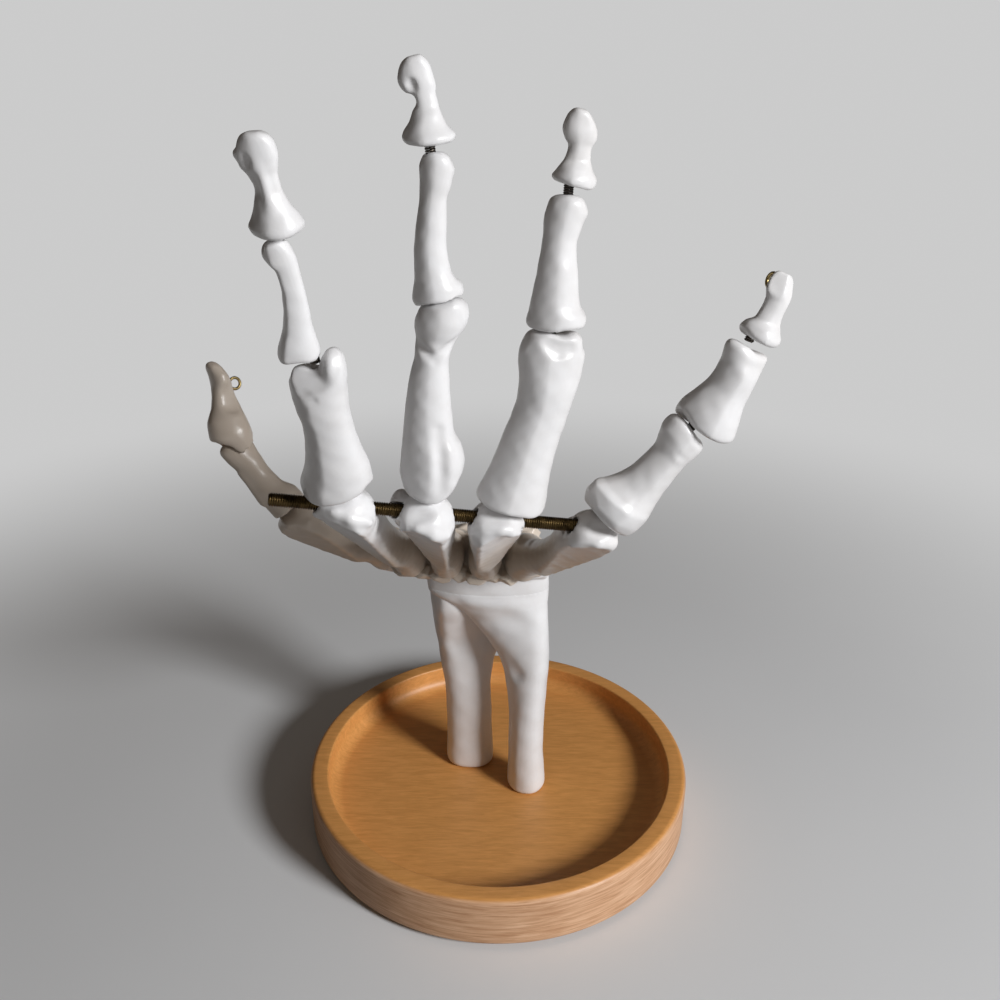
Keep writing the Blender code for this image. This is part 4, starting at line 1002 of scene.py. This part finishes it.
# Rows of a column: height, ridge x and y, turn, reach to the left, right, back and front
RADIUS_ROWS = [
    (10.3, 9.2, -3.6, -28, 6.1, 6.1, 5.6, 5.6), (12.5, 9.2, -3.6, -28, 6.4, 6.4, 5.8, 5.8),
    (25.2, 9.0, -3.5, -27, 5.9, 5.8, 5.6, 5.6), (38.7, 9.6, -3.4, -26, 6.5, 5.3, 5.6, 5.6),
    (49.1, 10.4, -3.1, -20, 8.2, 5.0, 5.7, 5.7), (59.6, 11.0, -2.3, -12, 10.9, 5.1, 6.0, 5.8),
    (67.0, 10.4, -1.6, -7, 14.6, 5.6, 6.0, 5.8), (74.5, 8.4, -0.5, -3, 18.2, 7.2, 5.9, 5.9),
    (79.0, 4.0, 0.4, 0, 19.0, 11.4, 6.4, 5.9), (82.4, -1.0, 0.6, 0, 19.6, 16.6, 6.9, 6.0),
    (85.0, -3.6, 0.6, 0, 18.8, 19.2, 6.6, 5.9)]
ULNA_ROWS = [
    (10.3, -10.0, 10.2, -4, 7.9, 7.9, 6.2, 6.0), (12.5, -10.0, 10.2, -4, 8.1, 8.1, 6.4, 6.2),
    (25.2, -10.1, 10.4, -4, 7.7, 7.7, 5.8, 5.6), (40.2, -10.6, 10.6, -4, 7.6, 7.8, 5.8, 5.3),
    (50.6, -12.6, 11.4, -4, 7.0, 10.8, 6.2, 5.3), (61.0, -15.3, 12.2, -2, 5.6, 15.5, 7.2, 4.9),
    (70.0, -16.4, 12.6, 0, 5.6, 14.0, 10.6, 4.9), (78.0, -16.6, 12.8, 0, 6.0, 11.0, 14.6, 4.9),
    (85.0, -16.4, 12.9, 0, 6.3, 8.0, 15.6, 4.7)]

# For each bone its rows, the box of its field, how square its quarters are, and its details
FOREARM = {
    "radius": (RADIUS_ROWS, ((-28, -11, 8), (20, 10, 88)), ARM_POWERS, (
        ("cut", "rod", (-14, -8.6, 81.5), (3.5, -9.8, 57), 3.4, 3.8, 2.2),
        ("cut", "ball", (2.0, -12.4, 76.6), (12, 6.4, 3.8), 3.0),
        ("cut", "ball", (-5.4, -8.6, 70.5), (4.2, 3.2, 6.5), 3.0))),
    "ulna": (ULNA_ROWS, ((-27, -5, 8), (4, 21, 88)), (2.2, 2.3, 2.4, 2.4), (
        ("cut", "ball", (-1.6, 4.2, 40), (2.8, 3.6, 34), 1.8),
        ("keep", "plane", (-16, 13.2, 84.2), (-0.25, 0.62, 0.74), 3.0))),
}


def build_forearm(bone):
    """The radius with its broad top, and the ulna to its left and farther from the camera."""
    for name, (rows, box, powers, details) in FOREARM.items():
        field = Field(*box, ARM_STEP)
        field.add(field.column(rows, powers))
        add_details(field, details)
        field.ripple(*ARM_RIPPLE)
        foot = FEET[name]
        field.cut(field.rod(foot + (8,), foot + (22.3,), SCREW_HOLE), 0.0)
        field.keep(ARM_FOOT - field.z, 1.0)
        field.keep(field.z - (WRIST.z + SEAM_RISE), 0.0)
        place_bone(f"forearm_{name}", field, Matrix(), bone, name)


# Rod, tray, pad and screws

ROD_PITCH, ROD_CREST, ROD_ROOT = 0.5, 1.5, 1.22         # its thread, with two radii
ROD_BEVEL = 1.05          # radius at the very end
TURN_SIDES = 24           # points round the rod and the screws
TRAY_OUTER, TRAY_INNER = 63.5, 57.5                     # radii of the tray's wall
TRAY_FOOT, TRAY_FLOOR, TRAY_RIM = 1.5, 10.0, 18.5       # heights of the tray
# Radii of its inner corner, of the rim's inner and outer edge, and of the foot's edge
COVE, INNER_EDGE, OUTER_EDGE, FOOT_EDGE = 4.5, 0.6, 1.8, 1.0
TRAY_SIDES, PAD_SIDES, HOLE_SIDES = 192, 160, 32        # points round each turned shape

# Half sections as (radius, height): a screw's hole in the tray, and the felt pad
HOLE = ((0, 12), (SCREW_HOLE, 12), (SCREW_HOLE, 4.2), (3.75, 1.8), (3.75, 0.5), (0, 0.5))
PAD = ((0, 1.2), (30, 1.2), (59.0, 1.2), (59.4, 1.1), (59.5, 0.9), (59.5, 0.25), (59.3, 0.05),
       (58.9, 0), (30, 0), (0, 0))

# A screw: length, heights where its head's edge and its head end, radii of head, neck and core,
# and the depth and pitch of its thread, which starts at a height
SCREW_LENGTH, SCREW_EDGE, SCREW_HEAD_END = 20.5, 0.3, 2.4
SCREW_HEAD, SCREW_NECK, SCREW_CORE = 3.4, 1.3, 1.15
SCREW_THREAD, SCREW_PITCH, SCREW_THREAD_START = 0.42, 1.2, 4


def turned_rings(heights, radius_at):
    """Rings of points at heights, with the radius that radius_at gives for a height and a share
    of the turn."""
    return [[polar(radius_at(z, s / TURN_SIDES), math.tau * s / TURN_SIDES, z)
             for s in range(TURN_SIDES)] for z in heights]


def build_rod(material):
    """A rod with a fine thread along its whole length and bevelled ends."""
    def radius_at(z, around):
        tooth = 1 - abs(2 * ((z / ROD_PITCH - around) % 1.0) - 1)
        radius = ROD_ROOT + (ROD_CREST - ROD_ROOT) * min(1.0, tooth * 1.35)
        return min(radius, ROD_BEVEL + min(z, ROD_LENGTH - z))

    count = int(ROD_LENGTH / ROD_PITCH * 5)
    heights = [ROD_LENGTH * i / count for i in range(count + 1)]
    place("threaded_rod", skin("rod", turned_rings(heights, radius_at)),
          frame_at(ROD_START, ROD_HEADING, Vector((0, 0, 1))), material, "knuckle_rod")


def screw_mesh():
    """A countersunk wood screw, point up."""
    def radius_at(z, around):
        if z <= SCREW_EDGE:
            return SCREW_HEAD
        if z <= SCREW_HEAD_END:
            return SCREW_HEAD + (SCREW_NECK - SCREW_HEAD) * (z - SCREW_EDGE) / 2.1
        phase = (z / SCREW_PITCH - around) % 1.0
        thread = max(0.0, 1 - abs(phase - 0.5) * 5) * (z > SCREW_THREAD_START)
        return (SCREW_CORE + SCREW_THREAD * thread) * min(1.0, (SCREW_LENGTH - z) / 2.5 + 0.08)

    heights = [0.0, SCREW_EDGE, *np.linspace(0.45, SCREW_HEAD_END, 5),
               *np.linspace(2.5, SCREW_LENGTH, 150)]
    return skin("screw", turned_rings(heights, radius_at))


def lathe(name, profile, steps):
    """A closed turned shape; profile starts and ends on the axis."""
    points = [polar(radius, math.tau * s / steps, z)
              for s in range(steps) for radius, z in profile[1:-1]]
    count = len(profile) - 2
    points += [(0, 0, profile[0][1]), (0, 0, profile[-1][1])]
    top, bottom = len(points) - 2, len(points) - 1
    turns = [(s * count, (s + 1) % steps * count) for s in range(steps)]
    faces = [(a + k, a + k + 1, b + k + 1, b + k) for a, b in turns for k in range(count - 1)]
    for a, b in turns:
        faces += [(top, a, b), (bottom, b + count - 1, a + count - 1)]
    mesh = make_mesh(name, points, faces)
    mesh.validate()
    return mesh


def arc(middle, height, radius, first, last, count):
    """Points of a round stretch of a half section, between two angles in degrees."""
    made = []
    for i in range(count + 1):
        angle = math.radians(first + (last - first) * i / count)
        made.append((middle + radius * math.cos(angle), height + radius * math.sin(angle)))
    return made


def carve(mesh, cutter_mesh):
    """A mesh with another closed mesh taken out of it."""
    obj, cutter = add_object("carved", mesh), add_object("cutter", cutter_mesh)
    change = obj.modifiers.new("cut", "BOOLEAN")
    change.object = cutter
    change.solver = "EXACT"
    bpy.context.view_layer.update()
    made = bpy.data.meshes.new_from_object(obj.evaluated_get(
        bpy.context.evaluated_depsgraph_get()))
    for each in (obj, cutter):
        bpy.data.objects.remove(each)
    return made


def build_tray(wood, felt, zinc):
    """The tray with its two screw holes, the pad under it and the screws."""
    profile = [(0, TRAY_FLOOR), (20, TRAY_FLOOR), (40, TRAY_FLOOR)]
    profile += arc(TRAY_INNER - COVE, TRAY_FLOOR + COVE, COVE, 270, 360, 12)
    profile += arc(TRAY_INNER + INNER_EDGE, TRAY_RIM - INNER_EDGE, INNER_EDGE, 180, 90, 5)
    profile += [(TRAY_INNER + 2.2, TRAY_RIM)]
    profile += arc(TRAY_OUTER - OUTER_EDGE, TRAY_RIM - OUTER_EDGE, OUTER_EDGE, 90, 0, 10)
    profile += [(TRAY_OUTER, TRAY_RIM - 6), (TRAY_OUTER, TRAY_FOOT + 4)]
    profile += arc(TRAY_OUTER - FOOT_EDGE, TRAY_FOOT + FOOT_EDGE, FOOT_EDGE, 0, -90, 5)
    profile += [(30, TRAY_FOOT), (0, TRAY_FOOT)]
    mesh = lathe("tray", profile, TRAY_SIDES)
    for x, y in FEET.values():
        cutter = lathe("hole", HOLE, HOLE_SIDES)
        cutter.transform(Matrix.Translation((x, y, 0)))
        mesh = carve(mesh, cutter)
    mesh.shade_smooth()
    mesh.set_sharp_from_angle(angle=math.radians(35))
    place("turned_tray", mesh, Matrix(), wood, "tray")
    place("felt_pad_disc", lathe("pad", PAD, PAD_SIDES), Matrix(), felt, "felt_pad")
    for name, (x, y) in FEET.items():
        place(f"wood_{name}_screw", screw_mesh(), Matrix.Translation((x, y, 1.8)), zinc,
              f"{name}_screw")


# Materials

# Where the plastic turns from white to its painted warm shade, and the wood from the rim to the
# wall with its painted sheen, in metres
SHADE_PAINT_FRONT, SHADE_PAINT_UP, WALL_START = (-0.084, -0.056), (0.093, 0.106), (0.0626, 0.0634)


class Nodes:
    """A node tree and a short way to add nodes to it."""

    def __init__(self, tree):
        self.tree = tree

    def add(self, kind, inputs=None, **settings):
        """A node, with each of its inputs set to a value or linked to an output."""
        node = self.tree.nodes.new("ShaderNode" + kind)
        for key, value in settings.items():
            setattr(node, key, value)
        for key, value in (inputs or {}).items():
            if isinstance(value, bpy.types.NodeSocket):
                self.tree.links.new(value, node.inputs[key])
            else:
                node.inputs[key].default_value = value
        return node


class Shader(Nodes):
    """A principled material."""

    def __init__(self, name, roughness, metallic=0.0):
        self.material = bpy.data.materials.new(name)
        self.material.use_nodes = True
        super().__init__(self.material.node_tree)
        self.surface = self.tree.nodes["Principled BSDF"]
        self.surface.inputs["Roughness"].default_value = roughness
        self.surface.inputs["Metallic"].default_value = metallic
        self.place = self.add("TexCoord").outputs["Object"]

    def stretched(self, scale):
        return self.add("Mapping", {"Scale": scale, "Vector": self.place}).outputs["Vector"]

    def noise(self, scale, detail=4.0, vector=None, distortion=0.0, rough=0.5):
        return self.add("TexNoise", {
            "Scale": scale, "Detail": detail, "Distortion": distortion, "Roughness": rough,
            "Vector": self.place if vector is None else vector}).outputs["Fac"]

    def ramp(self, source, stops):
        node = self.add("ValToRGB", {"Fac": source})
        first, last = node.color_ramp.elements
        first.position, first.color = stops[0][0], stops[0][1] + (1,)
        last.position, last.color = stops[-1][0], stops[-1][1] + (1,)
        for share, color in stops[1:-1]:
            node.color_ramp.elements.new(share).color = color + (1,)
        return node.outputs["Color"]

    def blend(self, share, a, b, mode="MIX"):
        return self.add("Mix", {"Factor": share, 6: a, 7: b}, data_type="RGBA",
                        blend_type=mode).outputs[2]

    def math(self, operation, a, b):
        return self.add("Math", {0: a, 1: b}, operation=operation).outputs[0]

    def length(self, vector):
        return self.add("VectorMath", {0: vector}, operation="LENGTH").outputs["Value"]

    def step(self, source, low, high):
        """A smooth share that goes from 0 at low to 1 at high."""
        return self.add("MapRange", {"Value": source, "From Min": low, "From Max": high},
                        interpolation_type="SMOOTHSTEP").outputs["Result"]

    def feed(self, name, source):
        self.tree.links.new(source, self.surface.inputs[name])

    def color(self, source):
        self.feed("Base Color", source)

    def roughness(self, source, low, high):
        node = self.add("MapRange", {"Value": source, "To Min": low, "To Max": high})
        self.feed("Roughness", node.outputs["Result"])

    def bump(self, source, strength, distance):
        node = self.add("Bump", {"Height": source, "Strength": strength, "Distance": distance})
        self.feed("Normal", node.outputs["Normal"])


def bone_material():
    """Glossy off-white plastic, with a darker, warmer tone painted on the palm bones, the wrist and
    the thumb as painted shade and painted warm light bounced from the tray."""
    made = Shader("bone_plastic", 0.3)
    large = made.noise(70, 3.0)
    fine = made.noise(420, 5.0, rough=0.6)
    tone = made.ramp(large, [(0.3, (0.765, 0.76, 0.765)), (0.7, (0.81, 0.81, 0.82))])
    specks = made.ramp(fine, [(0.35, (0.975, 0.97, 0.965)), (0.6, (1.0, 1.0, 1.0))])
    white = made.blend(1.0, tone, specks, "MULTIPLY")
    # Painted shade: a darker, warmer tone on what lies farther back than the fingers and higher
    # than 0.1 m stands in for the shade under the fingers and the warm light bounced from the tray
    painted_warm_shade = made.ramp(made.noise(45, 3.0),
                      [(0.3, (0.56, 0.475, 0.395)), (0.7, (0.65, 0.57, 0.485))])
    split = made.add("SeparateXYZ", {"Vector": made.place})
    front = made.step(split.outputs["Y"], *SHADE_PAINT_FRONT)
    above = made.step(split.outputs["Z"], *SHADE_PAINT_UP)
    made.color(made.blend(made.math("MULTIPLY", front, above), white, painted_warm_shade))
    made.roughness(fine, 0.24, 0.38)
    made.bump(made.noise(260, 4.0), 0.2, 0.00006)
    return made.material


def wood_material():
    """Beech: a smooth face grain on top, and wavy lines round the outer wall on a paler tone
    that is painted sheen.
    """
    made = Shader("beech_wood", 0.42)
    grain = made.noise(12, 6.0, made.stretched((10, 70, 70)), 0.5, 0.6)
    fibre = made.noise(55, 4.0, made.stretched((5, 110, 110)), 0.2)
    tone = made.ramp(grain, [(0.3, (0.60, 0.277, 0.075)), (0.5, (0.686, 0.321, 0.093)),
                             (0.72, (0.772, 0.366, 0.114))])
    lines = made.ramp(fibre, [(0.40, (0.93, 0.91, 0.89)), (0.56, (1.0, 1.0, 1.0))])
    face = made.blend(0.8, tone, lines, "MULTIPLY")
    # The wall: growth lines that run round it and slope a little, on a paler, less saturated tone
    # that is painted sheen
    wave = made.noise(8, 5.0, made.stretched((9, 9, 160)), 0.6, 0.62)
    ring = made.noise(30, 3.0, made.stretched((4, 4, 150)), 0.3)
    sheen_and_growth = made.ramp(wave, [(0.34, (0.53, 0.28, 0.145)), (0.5, (0.69, 0.41, 0.24)),
                              (0.66, (0.80, 0.51, 0.32))])
    fine = made.ramp(ring, [(0.42, (0.84, 0.78, 0.72)), (0.55, (1.0, 1.0, 1.0))])
    wall = made.blend(0.75, sheen_and_growth, fine, "MULTIPLY")
    flat = made.add("VectorMath", {0: made.place, 1: (1, 1, 0)}, operation="MULTIPLY")
    edge = made.step(made.length(flat.outputs["Vector"]), *WALL_START)
    made.color(made.blend(edge, face, wall))
    made.roughness(fibre, 0.36, 0.50)
    made.bump(fibre, 0.12, 0.0001)
    return made.material


def metal_material(name, dark, light, roughness):
    """Metal that is unevenly dull."""
    made = Shader(name, roughness, 1.0)
    worn = made.noise(500, 5.0, rough=0.65)
    made.color(made.ramp(worn, [(0.35, dark), (0.7, light)]))
    made.roughness(worn, roughness * 0.8, min(1.0, roughness * 1.3))
    return made.material


def felt_material():
    """Black felt with a fine fuzz."""
    made = Shader("black_felt", 0.95)
    fuzz = made.noise(1400, 6.0, rough=0.7)
    made.color(made.ramp(fuzz, [(0.3, (0.008, 0.008, 0.009)), (0.7, (0.035, 0.034, 0.034))]))
    made.bump(fuzz, 0.6, 0.0003)
    return made.material


# Room

PALE = (0.60, 0.60, 0.60, 1)            # shown colour of the backdrop
SKY_COLOR, SKY_STRENGTH = (1.0, 0.86, 0.74, 1), 0.075
FLOOR_HALF, FLOOR_CELLS = 4.0, 40       # half the floor's width in metres, cells along a side
FADE_START, FADE_END = 0.14, 0.45       # distances at which the floor fades into the backdrop
KEY_PLACE, KEY_TARGET = (0.785, -0.65, 0.55), (0, -0.05, 0.12)
KEY_SIZE, KEY_POWER, KEY_COLOR = 0.30, 12.1, (0.985, 0.99, 1.0)
CAMERA_PLACE = (0.0000635, -0.274574, 0.2417025)
CAMERA_TILT, CAMERA_ROLL = 24.69, 0.33  # down and to the side, in degrees


def build_floor():
    """A pale floor that keeps the shadow near the object and fades into the backdrop."""
    points = [(-FLOOR_HALF + 2 * FLOOR_HALF * i / FLOOR_CELLS,
               -FLOOR_HALF + 2 * FLOOR_HALF * j / FLOOR_CELLS, 0)
              for i in range(FLOOR_CELLS + 1) for j in range(FLOOR_CELLS + 1)]
    side = FLOOR_CELLS + 1
    corners = [i * side + j for i in range(FLOOR_CELLS) for j in range(FLOOR_CELLS)]
    mesh = make_mesh("floor", points, [(a, a + side, a + side + 1, a + 1) for a in corners])
    made = Shader("floor_paint", 0.75)
    rays = made.add("LightPath").outputs
    patches = made.noise(6, 3.0)
    lit = made.ramp(patches, [(0.3, (0.40, 0.40, 0.40)), (0.7, (0.42, 0.42, 0.42))])
    shown = made.ramp(patches, [(0.3, (0.75, 0.76, 0.77)), (0.7, (0.78, 0.79, 0.80))])
    made.color(made.blend(rays["Is Camera Ray"], lit, shown))
    fade = made.step(made.length(made.place), FADE_START, FADE_END)
    seen = made.math("MAXIMUM", rays["Is Camera Ray"], rays["Is Glossy Ray"])
    glow = made.add("Emission", {"Color": PALE})
    mix = made.add("MixShader", {"Fac": made.math("MULTIPLY", seen, fade),
                                 1: made.surface.outputs["BSDF"], 2: glow.outputs["Emission"]})
    made.tree.links.new(mix.outputs["Shader"],
                        made.tree.nodes["Material Output"].inputs["Surface"])
    mesh.materials.append(made.material)
    add_object("floor", mesh)


def build_key_light():
    """A small round lamp, high on the right of the camera."""
    data = bpy.data.lights.new("key", "AREA")
    data.shape, data.size, data.energy, data.color = "DISK", KEY_SIZE, KEY_POWER, KEY_COLOR
    light = add_object("key", data)
    light.location = KEY_PLACE
    look = Vector(KEY_TARGET) - Vector(KEY_PLACE)
    light.rotation_euler = look.to_track_quat("-Z", "Y").to_euler()


def build_sky():
    """Weak warm light from all sides, and a pale backdrop for the camera."""
    world = bpy.data.worlds.new("studio")
    bpy.context.scene.world = world
    world.use_nodes = True
    made = Nodes(world.node_tree)
    light = made.tree.nodes["Background"]
    light.inputs["Color"].default_value = SKY_COLOR
    light.inputs["Strength"].default_value = SKY_STRENGTH
    shown = made.add("Background", {"Color": PALE, "Strength": 1.0})
    mix = made.add("MixShader", {"Fac": made.add("LightPath").outputs["Is Camera Ray"],
                                 1: light.outputs["Background"], 2: shown.outputs["Background"]})
    made.tree.links.new(mix.outputs["Shader"], made.tree.nodes["World Output"].inputs["Surface"])


def build_camera():
    """The camera that the photo was taken with, as solved from the tray's ellipses."""
    data = bpy.data.cameras.new("camera")
    data.sensor_fit = "HORIZONTAL"
    data.sensor_width, data.lens = 36.0, 36.0
    data.clip_start, data.clip_end = 0.001, 20.0
    data.dof.use_dof = False
    camera = add_object("camera", data)
    camera.matrix_world = (Matrix.Translation(CAMERA_PLACE)
                           @ Matrix.Rotation(math.radians(90 - CAMERA_TILT), 4, "X")
                           @ Matrix.Rotation(math.radians(CAMERA_ROLL), 4, "Z"))
    bpy.context.scene.camera = camera
    bpy.context.scene.view_settings.view_transform = "Standard"


def main():
    """The pieces of the object, and then the room round it."""
    bone = bone_material()
    spring = metal_material("spring_steel", (0.05, 0.045, 0.04), (0.16, 0.14, 0.12), 0.4)
    brass = metal_material("brass", (0.20, 0.14, 0.05), (0.50, 0.38, 0.17), 0.32)
    bronze = metal_material("dark_bronze", (0.03, 0.019, 0.008), (0.15, 0.10, 0.04), 0.38)
    zinc = metal_material("zinc_steel", (0.42, 0.42, 0.41), (0.70, 0.70, 0.69), 0.35)
    build_fingers(bone, spring, brass)
    build_palm(bone)
    build_carpals(bone)
    build_forearm(bone)
    build_rod(bronze)
    build_tray(wood_material(), felt_material(), zinc)
    build_floor()
    build_key_light()
    build_sky()
    build_camera()


main()
